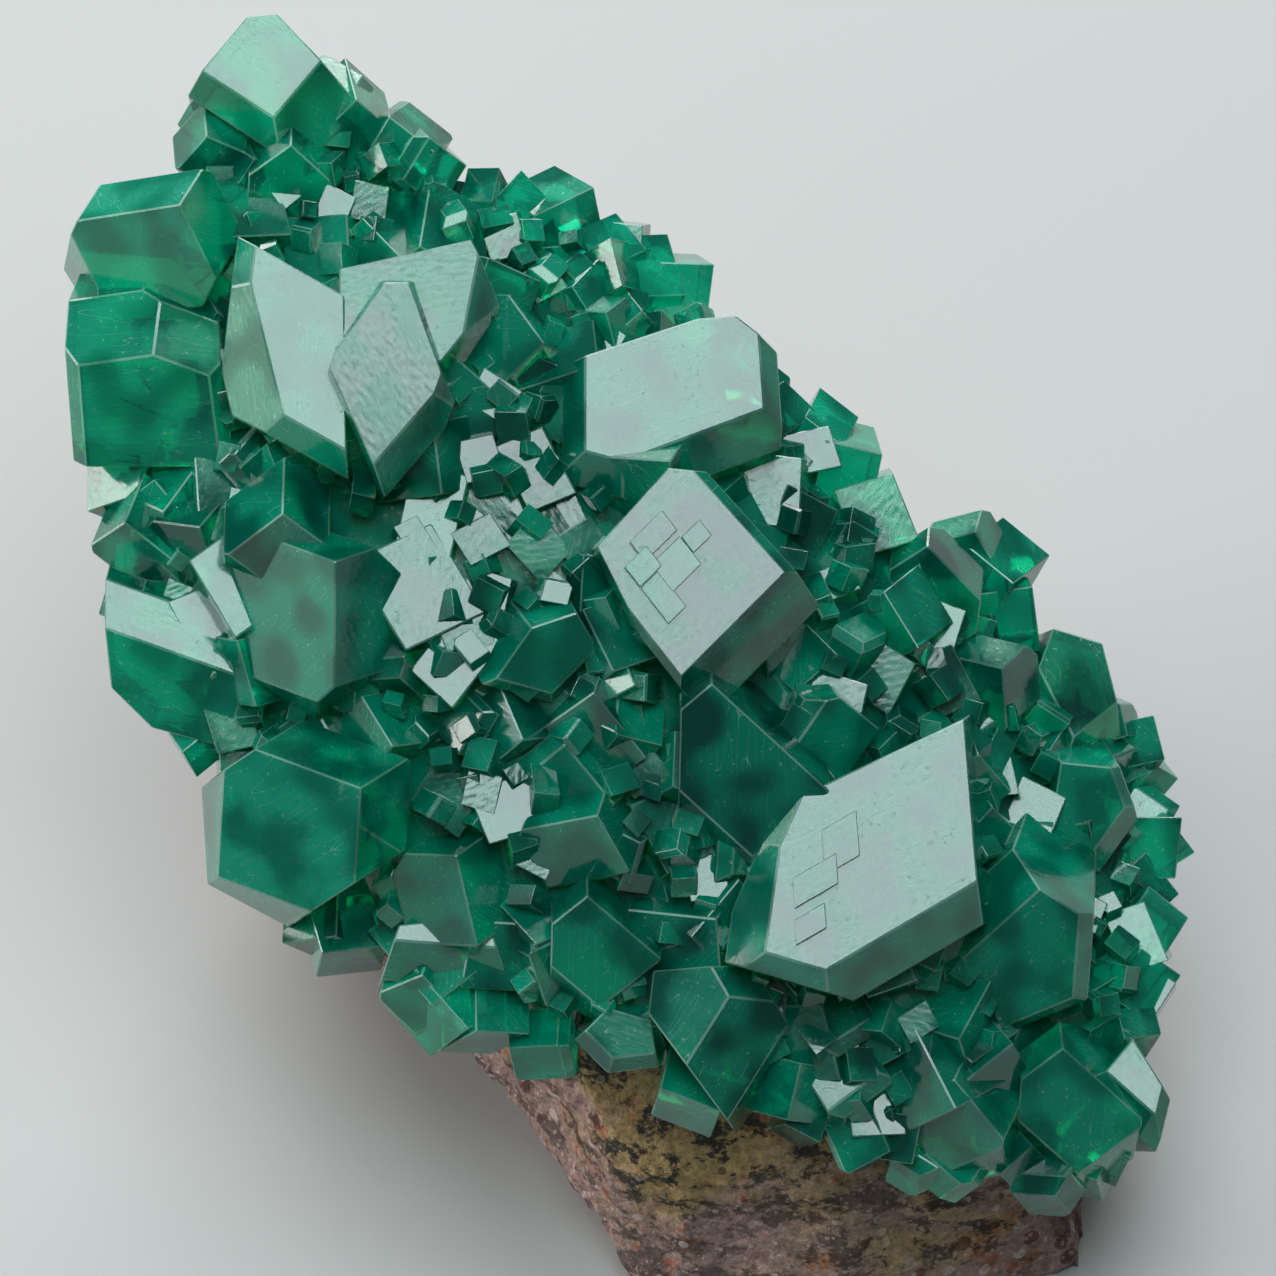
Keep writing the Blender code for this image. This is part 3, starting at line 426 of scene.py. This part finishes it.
def makeGrowthSteps(toneChance):
    made = []
    for number, alongWay, acrossWay, plates in growthSteps:
        outline, rise, leaning, bands = faceBlocks[number]
        front = lean(*leaning)
        face = faceMiddle(outline, rise)
        along, across = [
            Vector((way[0], way[1], -(front.x * way[0] + front.y * way[1]) / front.z)).normalized()
            for way in (alongWay, acrossWay)]
        side = front.cross(across).normalized()
        end = along.cross(front).normalized()
        for u, v, halfLength, halfWidth, height in plates:
            middle = onFace(u, v, face, front)
            planes = [(middle + front * height, front),
                      (middle - front * stepShape["root"], -front),
                      (middle + along * halfLength, side), (middle - along * halfLength, -side),
                      (middle + across * halfWidth, end), (middle - across * halfWidth, -end)]
            plate = cleave(startBlock(middle, stepShape["cube"]), planes, stepShape["frost"])
            made.append(markFaces(plate, along, toneChance.random()))
    return made


def makeSmallCrystals():
    toneChance = random.Random(fill["toneSeed"])
    seeds = []
    for stretch in itertools.product(*fill["seedStretch"]):
        for sides in fill["seedSides"]:
            seeds.append(((*stretch, bool(sides)), makeSeedCrystal(stretch, sides)))
    made = []
    chance = random.Random(fill["paleSeed"])
    for u, v, half, turn in paleBlocks:
        front = lean(*draw(chance, fill["paleLean"]))
        place = Vector((u, v, crustHeight(u, v) + chance.uniform(*fill["paleLift"])))
        seed = nearestSeed(seeds, draw(chance, fill["paleStretch"]), 0)
        made.append(copySeed(seed, place, half, front, turn, toneChance.random()))
    chance = random.Random(fill["seed"])
    taken = [(block[0], block[1]) for block in paleBlocks]
    for u, v in rimPlaces(fill["rimSpacing"], fill["rimShrink"]):
        if not nearBigCrystal(u, v, fill["rimClearance"]):
            taken.append((u, v))
            half = chance.uniform(*fill["rimHalf"])
            made.append(strew(seeds, u, v, half, chance, toneChance.random()))
    for _ in range(fill["tries"]):
        u, v = draw(chance, fill["area"])
        fine = crustAxes(u, v)[1] > fill["fineFrom"]
        spacing = fill["fineSpacing"] if fine else fill["coarseSpacing"]
        inside = insideOutline(u / fill["edge"], v / fill["edge"], crustShape["outline"])
        if not inside or nearBigCrystal(u, v, fill["clearance"]):
            continue
        if any(math.hypot(u - a, v - b) < spacing for a, b in taken):
            continue
        taken.append((u, v))
        half = chance.uniform(*fill["fineHalf" if fine else "coarseHalf"])
        made.append(strew(seeds, u, v, half, chance, toneChance.random()))
    made += makeTinyCrystals(seeds, toneChance)
    for shape, seed in seeds:
        bpy.data.objects.remove(seed)
    return made


# Crumb-sized crystals in the gaps, and a skirt of small ones round the rim's side wall
def makeTinyCrystals(seeds, toneChance):
    made = []
    chance = random.Random(tiny["seed"])
    taken = []
    for _ in range(tiny["tries"]):
        u, v = draw(chance, fill["area"])
        inside = insideOutline(u / fill["edge"], v / fill["edge"], crustShape["outline"])
        if not inside or nearBigCrystal(u, v, tiny["clearance"]):
            continue
        if any(math.hypot(u - a, v - b) < tiny["spacing"] for a, b in taken):
            continue
        taken.append((u, v))
        half = chance.uniform(*tiny["half"])
        front = lean(*draw(chance, fill["lean"]))
        place = Vector((u, v, crustHeight(u, v) + chance.uniform(*tiny["lift"])))
        seed = chance.choice(seeds)[1]
        made.append(copySeed(seed, place, half, front, chance.uniform(0, 360),
                             toneChance.random()))
    chance = random.Random(tiny["skirtSeed"])
    for u, v in rimPlaces(tiny["skirtSpacing"], tiny["skirtShrink"]):
        half = chance.uniform(*tiny["skirtHalf"])
        outward = Vector((u, v, 0)).normalized() * chance.uniform(*tiny["skirtSplay"])
        front = (outward + Vector((0, 0, 1.0))).normalized()
        height = crustHeight(u, v) - chance.uniform(*tiny["skirtDrop"]) + half
        seed = chance.choice(seeds)[1]
        made.append(copySeed(seed, Vector((u, v, height)), half, front,
                             chance.uniform(0, 360), toneChance.random()))
    return made


def crustRing(shrink, lift):
    points = []
    for u, v in crustShape["outline"]:
        u, v = u * shrink, v * shrink
        points.append(Vector((u, v, crustHeight(u, v) + lift)))
    return points


# A closed body from stacked rings: a cylinder cut to levels, whose rims move to the rings
def stackRings(name, rings, top, bottom):
    pickNone()
    count = len(rings[0])
    bpy.ops.mesh.primitive_cylinder_add(vertices=count, radius=1, depth=2,
                                        end_fill_type="TRIFAN")
    body = bpy.context.object
    body.name = name
    body.data.materials.append(crystalStuff)
    body.data.materials.append(edgeStuff)
    steps = len(rings) - 1
    bpy.ops.object.mode_set(mode="EDIT")
    for level in range(1, steps):
        bpy.ops.mesh.select_all(action="SELECT")
        bpy.ops.mesh.bisect(plane_co=(0, 0, 1 - 2 * level / steps), plane_no=(0, 0, 1))
    bpy.ops.object.mode_set(mode="OBJECT")
    for vert in body.data.vertices:
        level = round((1 - vert.co.z) / 2 * steps)
        if vert.co.xy.length < 0.01:
            vert.co = bottom if level else top
        else:
            share = math.atan2(vert.co.x, vert.co.y) / math.tau
            vert.co = rings[level][round(share * count) % count]
    bpy.ops.object.mode_set(mode="EDIT")
    bpy.ops.mesh.select_all(action="SELECT")
    bpy.ops.mesh.normals_make_consistent(inside=False)
    bpy.ops.object.mode_set(mode="OBJECT")
    return body


# Joins the crystals to the bed in one exact Boolean and keeps the one large shell
def joinCrystals(bed, crystals):
    group = bpy.data.collections.new("crystals")
    bpy.context.scene.collection.children.link(group)
    for crystal in crystals:
        for home in list(crystal.users_collection):
            home.objects.unlink(crystal)
        group.objects.link(crystal)
    join = bed.modifiers.new("join", "BOOLEAN")
    join.operation = "UNION"
    join.solver = "EXACT"
    join.operand_type = "COLLECTION"
    join.collection = group
    pick(bed)
    bpy.ops.object.modifier_apply(modifier="join")
    for crystal in crystals:
        bpy.data.objects.remove(crystal)
    bpy.data.collections.remove(group)


def keepLargestShell(item):
    mesh = item.data
    neighbours = {}
    for edge in mesh.edges:
        a, b = edge.vertices
        neighbours.setdefault(a, []).append(b)
        neighbours.setdefault(b, []).append(a)
    unseen = set(neighbours)
    shells = []
    while unseen:
        queue = [unseen.pop()]
        shell = list(queue)
        while queue:
            for other in neighbours[queue.pop()]:
                if other in unseen:
                    unseen.remove(other)
                    shell.append(other)
                    queue.append(other)
        shells.append(shell)
    keep = set(max(shells, key=len))
    bpy.ops.object.mode_set(mode="EDIT")
    bpy.ops.mesh.select_mode(type="VERT")
    bpy.ops.mesh.select_all(action="DESELECT")
    bpy.ops.object.mode_set(mode="OBJECT")
    for vert in mesh.vertices:
        vert.select = vert.index not in keep
    bpy.ops.object.mode_set(mode="EDIT")
    bpy.ops.mesh.delete(type="VERT")
    bpy.ops.object.mode_set(mode="OBJECT")


def makeCrust():
    started = time.time()
    toneChance = random.Random(crustShape["toneSeed"])
    sideShrink, footShrink = crustShape["undersideRings"]
    bedRings = [crustRing(shrink, lift) for shrink, lift in crustShape["bedRings"]]
    bedRings += [crustRing(sideShrink, crustShape["rimThinning"] - crustShape["thickness"]),
                 crustRing(footShrink, -crustShape["thickness"])]
    middle = Vector((0, 0, crustHeight(0, 0)))
    bed = stackRings("dioptaseCrust", bedRings, middle,
                     middle - Vector((0, 0, crustShape["thickness"])))
    markFaces(bed, Vector(crustShape["bedGrain"]).normalized(), crustShape["bedTone"])
    crystals = [makeFaceBlock(*block, toneChance.random()) for block in faceBlocks]
    crystals += [makeCornerBlock(*block, toneChance.random()) for block in cornerBlocks]
    crystals += makeGrowthSteps(toneChance)
    print("big crystals:", len(crystals), round(time.time() - started, 1), "s")
    crystals += makeSmallCrystals()
    print("all crystals:", len(crystals), round(time.time() - started, 1), "s")
    joinCrystals(bed, crystals)
    keepLargestShell(bed)
    mesh = bed.data
    frosted = mesh.attributes.new("edgeFrost", "FLOAT", "FACE")
    frosted.data.foreach_set("value", [float(poly.material_index) for poly in mesh.polygons])
    for poly in mesh.polygons:
        poly.material_index = 0
    mesh.materials.clear()
    mesh.materials.append(crystalStuff)
    mesh.transform(toWorld())
    pick(bed)
    bpy.ops.object.shade_flat()
    triangles = sum(len(poly.vertices) - 2 for poly in mesh.polygons)
    print("crust joined:", triangles, "triangles", round(time.time() - started, 1), "s")
    return bed


# The matrix rock
rockShape = {"seed": 5, "voxel": 0.00042, "weld": 0.000001, "footFade": 1.2, "seamEdge": 1.5,
             "broad": (0.22, 0.55), "middle": (0.7, 0.28), "fine": (2.1, 0.13),
             "ridgeStretch": (0.5, 0.5, 0.9), "ridgeWidth": 0.35, "ridgeHeight": 0.5}


def makeRock():
    started = time.time()
    pickNone()
    node = frame["nodes"]["matrix_rock"]
    rock = node.copy()
    rock.data = node.data.copy()
    rock.name = "matrixStone"
    rock.hide_render = False
    bpy.context.scene.collection.objects.link(rock)
    pick(rock)
    bpy.ops.object.mode_set(mode="EDIT")
    bpy.ops.mesh.select_all(action="SELECT")
    bpy.ops.mesh.remove_doubles(threshold=rockShape["weld"])
    bpy.ops.object.mode_set(mode="OBJECT")
    even = rock.modifiers.new("even", "REMESH")
    even.mode = "VOXEL"
    even.voxel_size = rockShape["voxel"]
    bpy.ops.object.modifier_apply(modifier="even")
    roughen(rock.data)
    rock.data.materials.clear()
    rock.data.materials.append(rockStuff)
    bpy.ops.object.shade_flat()
    print("rock:", 2 * len(rock.data.polygons), "triangles", round(time.time() - started, 1), "s")
    return rock


# Pushes the rock's skin in and out with noise, and leaves its foot and its seam flat
def roughen(mesh):
    noise.seed_set(rockShape["seed"])
    toView = toWorld().inverted().to_3x3().normalized()
    ridgeScale = Vector(rockShape["ridgeStretch"]).length
    moved = []
    for vert in mesh.vertices:
        place = vert.co * 1000.0
        push = 0.0
        for key in ("broad", "middle", "fine"):
            scale, height = rockShape[key]
            push += noise.noise(place * scale) * height
        ridge = rockShape["ridgeWidth"] - abs(noise.noise(place * ridgeScale))
        push += max(0.0, ridge) * rockShape["ridgeHeight"]
        fromSeam = 1.0 - max(0.0, (toView @ vert.normal).z)
        footPart = min(1.0, place.z / rockShape["footFade"])
        seamPart = min(1.0, fromSeam * rockShape["seamEdge"])
        moved.append(vert.co + vert.normal * (push * 0.001 * footPart * seamPart))
    for vert, place in zip(mesh.vertices, moved):
        vert.co = place


# Helpers for the node materials

def node(tree, kind, values=None, **settings):
    made = tree.nodes.new(kind)
    for key, value in settings.items():
        setattr(made, key, value)
    for key, value in (values or {}).items():
        made.inputs[key].default_value = value
    return made


def mathNode(tree, operation, a, b=None, c=None):
    made = tree.nodes.new("ShaderNodeMath")
    made.operation = operation
    for spot, value in enumerate((a, b, c)):
        if value is None:
            continue
        if isinstance(value, (int, float)):
            made.inputs[spot].default_value = value
        else:
            tree.links.new(value, made.inputs[spot])
    return made.outputs[0]


def blendColours(tree, mask, first, second):
    made = tree.nodes.new("ShaderNodeMix")
    made.data_type = "RGBA"
    for spot, value in ((0, mask), (6, first), (7, second)):
        if isinstance(value, (tuple, float)):
            made.inputs[spot].default_value = (*value, 1.0) if spot else value
        else:
            tree.links.new(value, made.inputs[spot])
    return made.outputs[2]


def spread(tree, value, low, high):
    made = tree.nodes.new("ShaderNodeMapRange")
    made.interpolation_type = "SMOOTHSTEP"
    tree.links.new(value, made.inputs[0])
    made.inputs[1].default_value = low
    made.inputs[2].default_value = high
    return made.outputs[0]


def noiseAt(tree, vector, scale, detail=3.0, rough=0.55):
    made = tree.nodes.new("ShaderNodeTexNoise")
    made.inputs["Scale"].default_value = scale
    made.inputs["Detail"].default_value = detail
    made.inputs["Roughness"].default_value = rough
    tree.links.new(vector, made.inputs["Vector"])
    return made.outputs["Fac"]


# Smooth noise over a face's own flat coordinates; the scale is a number or a socket
def noiseFlat(tree, vector, scale):
    made = node(tree, "ShaderNodeTexNoise", {"Detail": 0.0}, noise_dimensions="2D")
    tree.links.new(vector, made.inputs["Vector"])
    if isinstance(scale, float):
        made.inputs["Scale"].default_value = scale
    else:
        tree.links.new(scale, made.inputs["Scale"])
    return made.outputs["Fac"]


def newGroup(name, inputs, outputs):
    tree = bpy.data.node_groups.new(name, "ShaderNodeTree")
    for label, kind, value in inputs:
        socket = tree.interface.new_socket(label, in_out="INPUT", socket_type=kind)
        if value is not None:
            socket.default_value = value
    for label, kind in outputs:
        tree.interface.new_socket(label, in_out="OUTPUT", socket_type=kind)
    return tree, tree.nodes.new("NodeGroupInput"), tree.nodes.new("NodeGroupOutput")


# Grains: scattered specks of uneven size, for the rock's pale grains and dark spots
def makeGrainGroup():
    tree, source, result = newGroup(
        "grains", [("Vector", "NodeSocketVector", None), ("Scale", "NodeSocketFloat", 1.0),
                   ("Size", "NodeSocketFloat", 0.2), ("Share", "NodeSocketFloat", 0.5)],
        [("Mask", "NodeSocketFloat")])
    cells = tree.nodes.new("ShaderNodeTexVoronoi")
    tree.links.new(source.outputs["Vector"], cells.inputs["Vector"])
    tree.links.new(source.outputs["Scale"], cells.inputs["Scale"])
    split = tree.nodes.new("ShaderNodeSeparateColor")
    tree.links.new(cells.outputs["Color"], split.inputs[0])
    radius = mathNode(tree, "MULTIPLY", source.outputs["Size"], split.outputs[1])
    near = mathNode(tree, "LESS_THAN", cells.outputs["Distance"], radius)
    chosen = mathNode(tree, "LESS_THAN", split.outputs[0], source.outputs["Share"])
    tree.links.new(mathNode(tree, "MULTIPLY", near, chosen), result.inputs["Mask"])
    return tree


# Hairs: thin lines where a stretched noise crosses its middle value
def makeHairGroup():
    tree, source, result = newGroup(
        "hairs", [("Vector", "NodeSocketVector", None), ("Scale", "NodeSocketFloat", 1.0),
                  ("Width", "NodeSocketFloat", 0.02)], [("Mask", "NodeSocketFloat")])
    lines = noiseFlat(tree, source.outputs["Vector"], source.outputs["Scale"])
    offset = mathNode(tree, "ABSOLUTE", mathNode(tree, "SUBTRACT", lines, 0.5))
    thin = mathNode(tree, "LESS_THAN", offset, source.outputs["Width"])
    tree.links.new(thin, result.inputs["Mask"])
    return tree


def useGroup(tree, group, vector, **values):
    made = tree.nodes.new("ShaderNodeGroup")
    made.node_tree = group
    tree.links.new(vector, made.inputs["Vector"])
    for key, value in values.items():
        made.inputs[key].default_value = value
    return made.outputs[0]


def millimetres(tree):
    place = tree.nodes.new("ShaderNodeTexCoord")
    scaled = tree.nodes.new("ShaderNodeMapping")
    scaled.inputs["Scale"].default_value = (1000.0, 1000.0, 1000.0)
    tree.links.new(place.outputs["Object"], scaled.inputs["Vector"])
    return scaled.outputs[0]


def stretched(tree, vector, scale, turn=0.0):
    made = tree.nodes.new("ShaderNodeMapping")
    made.inputs["Scale"].default_value = scale
    made.inputs["Rotation"].default_value = (0.0, 0.0, math.radians(turn))
    tree.links.new(vector, made.inputs["Vector"])
    return made.outputs[0]


crystalLook = {
    "clear": (0.0, 0.66, 0.40), "deep": (0.0, 0.13, 0.095), "frost": (0.50, 0.86, 0.74),
    "roughness": 0.05, "etched": 0.32, "transmission": 0.72, "ior": 1.66,
    "absorb": (0.0, 0.76, 0.52), "density": 360.0,
    "patchScale": 0.55, "grainScale": 5.5, "fleckRange": (0.76, 0.82), "fleckShare": 0.45,
    "scratchStretch": (0.3, 2.4, 1.0), "scratchTurn": 8, "scratchWidth": 0.0045,
    "scratchShare": 0.5, "edgeShare": 0.32, "edgePatches": 0.45, "toneDepth": 0.5,
    "patchDepth": 0.6, "patchRough": 0.07, "grainRough": 0.10,
    "streakStretch": (2.4, 5.2, 1.0), "bump": 0.10, "bumpDepth": 0.00003,
}


def makeCrystalMaterial(material, hairs):
    material.use_nodes = True
    tree = material.node_tree
    surface = tree.nodes["Principled BSDF"]
    output = tree.nodes["Material Output"]
    look = crystalLook
    mm = millimetres(tree)
    flat = node(tree, "ShaderNodeUVMap", uv_map="faceMap").outputs[0]
    tone = node(tree, "ShaderNodeAttribute", attribute_name="tone").outputs["Fac"]
    edge = node(tree, "ShaderNodeAttribute", attribute_name="edgeFrost").outputs["Fac"]
    patches = spread(tree, noiseAt(tree, mm, look["patchScale"], 0.0), 0.32, 0.68)
    grainy = noiseAt(tree, mm, look["grainScale"], 0.0, 0.6)
    flecks = mathNode(tree, "MULTIPLY", spread(tree, grainy, *look["fleckRange"]), patches)
    scratched = stretched(tree, flat, look["scratchStretch"], look["scratchTurn"])
    scratches = useGroup(tree, hairs, scratched, Scale=1.0, Width=look["scratchWidth"])
    scratches = mathNode(tree, "MULTIPLY", scratches, patches)
    # Frost lies on the worn edges, in the scratches and on the flecks
    wear = mathNode(tree, "MULTIPLY_ADD", patches, look["edgePatches"], look["edgeShare"])
    frostMask = mathNode(tree, "MAXIMUM", mathNode(tree, "MULTIPLY", edge, wear),
                         mathNode(tree, "MULTIPLY", scratches, look["scratchShare"]))
    frostMask = mathNode(tree, "MAXIMUM", frostMask,
                         mathNode(tree, "MULTIPLY", flecks, look["fleckShare"]))
    depth = mathNode(tree, "MULTIPLY_ADD", tone, look["toneDepth"],
                     mathNode(tree, "MULTIPLY", patches, look["patchDepth"]))
    body = blendColours(tree, depth, look["deep"], look["clear"])
    colour = blendColours(tree, frostMask, body, look["frost"])
    tree.links.new(colour, surface.inputs["Base Color"])
    rough = mathNode(tree, "MULTIPLY_ADD", frostMask, look["etched"], look["roughness"])
    rough = mathNode(tree, "MULTIPLY_ADD", patches, look["patchRough"], rough)
    rough = mathNode(tree, "MULTIPLY_ADD", grainy, look["grainRough"], rough)
    tree.links.new(rough, surface.inputs["Roughness"])
    streaks = noiseFlat(tree, stretched(tree, flat, look["streakStretch"]), 1.0)
    bump = node(tree, "ShaderNodeBump",
                {"Strength": look["bump"], "Distance": look["bumpDepth"]})
    tree.links.new(streaks, bump.inputs["Height"])
    tree.links.new(bump.outputs[0], surface.inputs["Normal"])
    surface.inputs["Metallic"].default_value = 0.0
    surface.inputs["IOR"].default_value = look["ior"]
    surface.inputs["Transmission Weight"].default_value = look["transmission"]
    absorb = node(tree, "ShaderNodeVolumeAbsorption", {"Density": look["density"]})
    absorb.inputs["Color"].default_value = (*look["absorb"], 1.0)
    tree.links.new(absorb.outputs[0], output.inputs["Volume"])


rockLook = {
    "mauve": (0.36, 0.23, 0.20), "ochre": (0.40, 0.27, 0.11), "rust": (0.34, 0.10, 0.03),
    "black": (0.012, 0.009, 0.008), "grain": (0.66, 0.54, 0.50), "spot": (0.10, 0.016, 0.010),
    "wander": 18.0, "ochreRange": (20.5, 25.0), "rustRange": (0.56, 0.68), "rustShare": 0.85,
    "darkStretch": (0.8, 0.8, 1.2), "darkRange": (0.49, 0.56), "spotShare": 0.7,
    "shadeLow": (0.55, 0.55, 0.55), "shadeHigh": (1.3, 1.3, 1.3),
    "bump": 0.9, "bumpDepth": 0.0003,
}


def makeRockMaterial(material, grains):
    material.use_nodes = True
    tree = material.node_tree
    surface = tree.nodes["Principled BSDF"]
    look = rockLook
    mm = millimetres(tree)
    # The ochre zone lies just under the crust and tilts with it
    crustAxis = (toWorld().to_3x3() @ Vector((0, 0, 1))).normalized()
    along = node(tree, "ShaderNodeVectorMath", operation="DOT_PRODUCT")
    along.inputs[1].default_value = crustAxis
    tree.links.new(mm, along.inputs[0])
    level = mathNode(tree, "MULTIPLY_ADD", noiseAt(tree, mm, 0.16, 3.0), look["wander"],
                     along.outputs["Value"])
    upper = spread(tree, level, *look["ochreRange"])
    colour = blendColours(tree, upper, look["mauve"], look["ochre"])
    rusty = spread(tree, noiseAt(tree, mm, 0.4, 4.0, 0.7), *look["rustRange"])
    rusty = mathNode(tree, "MULTIPLY", rusty, look["rustShare"])
    colour = blendColours(tree, rusty, colour, look["rust"])
    clotted = noiseAt(tree, stretched(tree, mm, look["darkStretch"]), 0.55, 5.0, 0.75)
    dark = mathNode(tree, "MULTIPLY", spread(tree, clotted, *look["darkRange"]),
                    mathNode(tree, "MULTIPLY_ADD", upper, 0.35, 0.62))
    colour = blendColours(tree, dark, colour, look["black"])
    white = useGroup(tree, grains, mm, Scale=1.5, Size=0.5, Share=0.34)
    fine = useGroup(tree, grains, mm, Scale=4.5, Size=0.55, Share=0.4)
    spots = useGroup(tree, grains, mm, Scale=0.8, Size=0.45, Share=0.34)
    spots = mathNode(tree, "MULTIPLY", spots, look["spotShare"])
    colour = blendColours(tree, spots, colour, look["spot"])
    pale = mathNode(tree, "MAXIMUM", mathNode(tree, "MULTIPLY", white, 0.6),
                    mathNode(tree, "MULTIPLY", fine, 0.45))
    pale = mathNode(tree, "MULTIPLY", pale, mathNode(tree, "MULTIPLY_ADD", upper, -0.7, 1.0))
    colour = blendColours(tree, pale, colour, look["grain"])
    mottle = noiseAt(tree, mm, 2.4, 5.0, 0.7)
    shade = blendColours(tree, spread(tree, mottle, 0.3, 0.7), look["shadeLow"],
                         look["shadeHigh"])
    tinted = tree.nodes.new("ShaderNodeMix")
    tinted.data_type = "RGBA"
    tinted.blend_type = "MULTIPLY"
    tinted.inputs[0].default_value = 1.0
    tree.links.new(colour, tinted.inputs[6])
    tree.links.new(shade, tinted.inputs[7])
    tree.links.new(tinted.outputs[2], surface.inputs["Base Color"])
    rough = mathNode(tree, "MULTIPLY_ADD", mottle, -0.25, 0.95)
    rough = mathNode(tree, "MULTIPLY_ADD", white, -0.3, rough)
    tree.links.new(rough, surface.inputs["Roughness"])
    height = mathNode(tree, "MULTIPLY_ADD", noiseAt(tree, mm, 7.0, 4.0, 0.7), 0.4, mottle)
    bump = node(tree, "ShaderNodeBump",
                {"Strength": look["bump"], "Distance": look["bumpDepth"]})
    tree.links.new(height, bump.inputs["Height"])
    tree.links.new(bump.outputs[0], surface.inputs["Normal"])


# Floor, light and camera
# Panels have a name, angles to the camera (right and up in degrees), distance, size, power
# and colour
studio = {
    "floor": (0.40, 0.40, 0.395), "floorCloud": (0.43, 0.43, 0.425), "floorSize": 3.0,
    "sky": (0.55, 0.60, 0.66), "skyStrength": 0.10,
    "lens": 300.0, "sensor": 36.0, "frameWidth": 0.05104, "aim": (0, 0, -4),
    "panels": [
        ("keyPanel", 0, 25, 0.50, (0.28, 0.36), 2.2, (0.82, 0.95, 0.97)),
        ("leftGlow", -76, 10, 0.45, (0.22, 0.30), 1.6, (1.0, 0.99, 0.96)),
        ("backGlow", 24, 100, 0.45, (0.44, 0.20), 2.5, (1.0, 1.0, 1.0))],
    "maxBounces": 4,
}


def makeFloor():
    pickNone()
    bpy.ops.mesh.primitive_grid_add(x_subdivisions=8, y_subdivisions=8,
                                    size=studio["floorSize"], location=(0, 0, 0))
    floor = bpy.context.object
    floor.name = "floor"
    material = bpy.data.materials.new("paleFloor")
    material.use_nodes = True
    tree = material.node_tree
    surface = tree.nodes["Principled BSDF"]
    cloud = noiseAt(tree, millimetres(tree), 0.02, 1.0)
    tree.links.new(blendColours(tree, cloud, studio["floor"], studio["floorCloud"]),
                   surface.inputs["Base Color"])
    surface.inputs["Roughness"].default_value = 0.7
    floor.data.materials.append(material)


def addPanel(name, fromCentre, size, power, colour, centre):
    light = bpy.data.lights.new(name, "AREA")
    light.shape = "RECTANGLE"
    light.size, light.size_y = size
    light.energy = power
    light.color = colour
    lamp = bpy.data.objects.new(name, light)
    lamp.location = centre + fromCentre
    lamp.rotation_euler = fromCentre.to_track_quat("Z", "Y").to_euler()
    bpy.context.scene.collection.objects.link(lamp)


def makeStudio():
    view = toWorld()
    centre = view @ Vector(studio["aim"])
    turned = view.to_3x3().normalized()
    distance = studio["frameWidth"] * studio["lens"] / studio["sensor"]
    camera = bpy.data.cameras.new("camera")
    camera.lens = studio["lens"]
    camera.clip_start = 0.01
    camera.clip_end = 10.0
    eye = bpy.data.objects.new("camera", camera)
    eye.matrix_world = Matrix.Translation(centre + turned @ Vector((0, 0, distance))) @ \
        turned.to_4x4()
    bpy.context.scene.collection.objects.link(eye)
    bpy.context.scene.camera = eye
    for name, right, up, far, size, power, colour in studio["panels"]:
        yaw = Matrix.Rotation(math.radians(right), 3, "Y")
        pitch = Matrix.Rotation(math.radians(-up), 3, "X")
        way = turned @ (yaw @ pitch @ Vector((0, 0, 1)))
        addPanel(name, way * far, size, power, colour, centre)
    world = bpy.context.scene.world or bpy.data.worlds.new("world")
    bpy.context.scene.world = world
    world.use_nodes = True
    back = world.node_tree.nodes["Background"]
    back.inputs[0].default_value = (*studio["sky"], 1.0)
    back.inputs[1].default_value = studio["skyStrength"]
    bpy.context.scene.view_settings.view_transform = "Standard"
    # Light paths end after four bounces instead of twelve. Compared with 12 bounces, 4
    # changed the picture by under one level in 255 on average and the render time not
    # measurably
    bpy.context.scene.cycles.max_bounces = studio["maxBounces"]
    bpy.context.scene.cycles.caustics_reflective = False


crystalStuff = bpy.data.materials.new("dioptase")
edgeStuff = bpy.data.materials.new("edgeMark")
rockStuff = bpy.data.materials.new("matrix")
grainGroup = makeGrainGroup()
hairGroup = makeHairGroup()
makeCrystalMaterial(crystalStuff, hairGroup)
makeRockMaterial(rockStuff, grainGroup)
print("materials made")

crust = makeCrust()
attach(crust, "root")
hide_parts("dioptase_crystals")

stone = makeRock()
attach(stone, "root")
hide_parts("matrix_rock")

makeFloor()
makeStudio()
print("studio set")
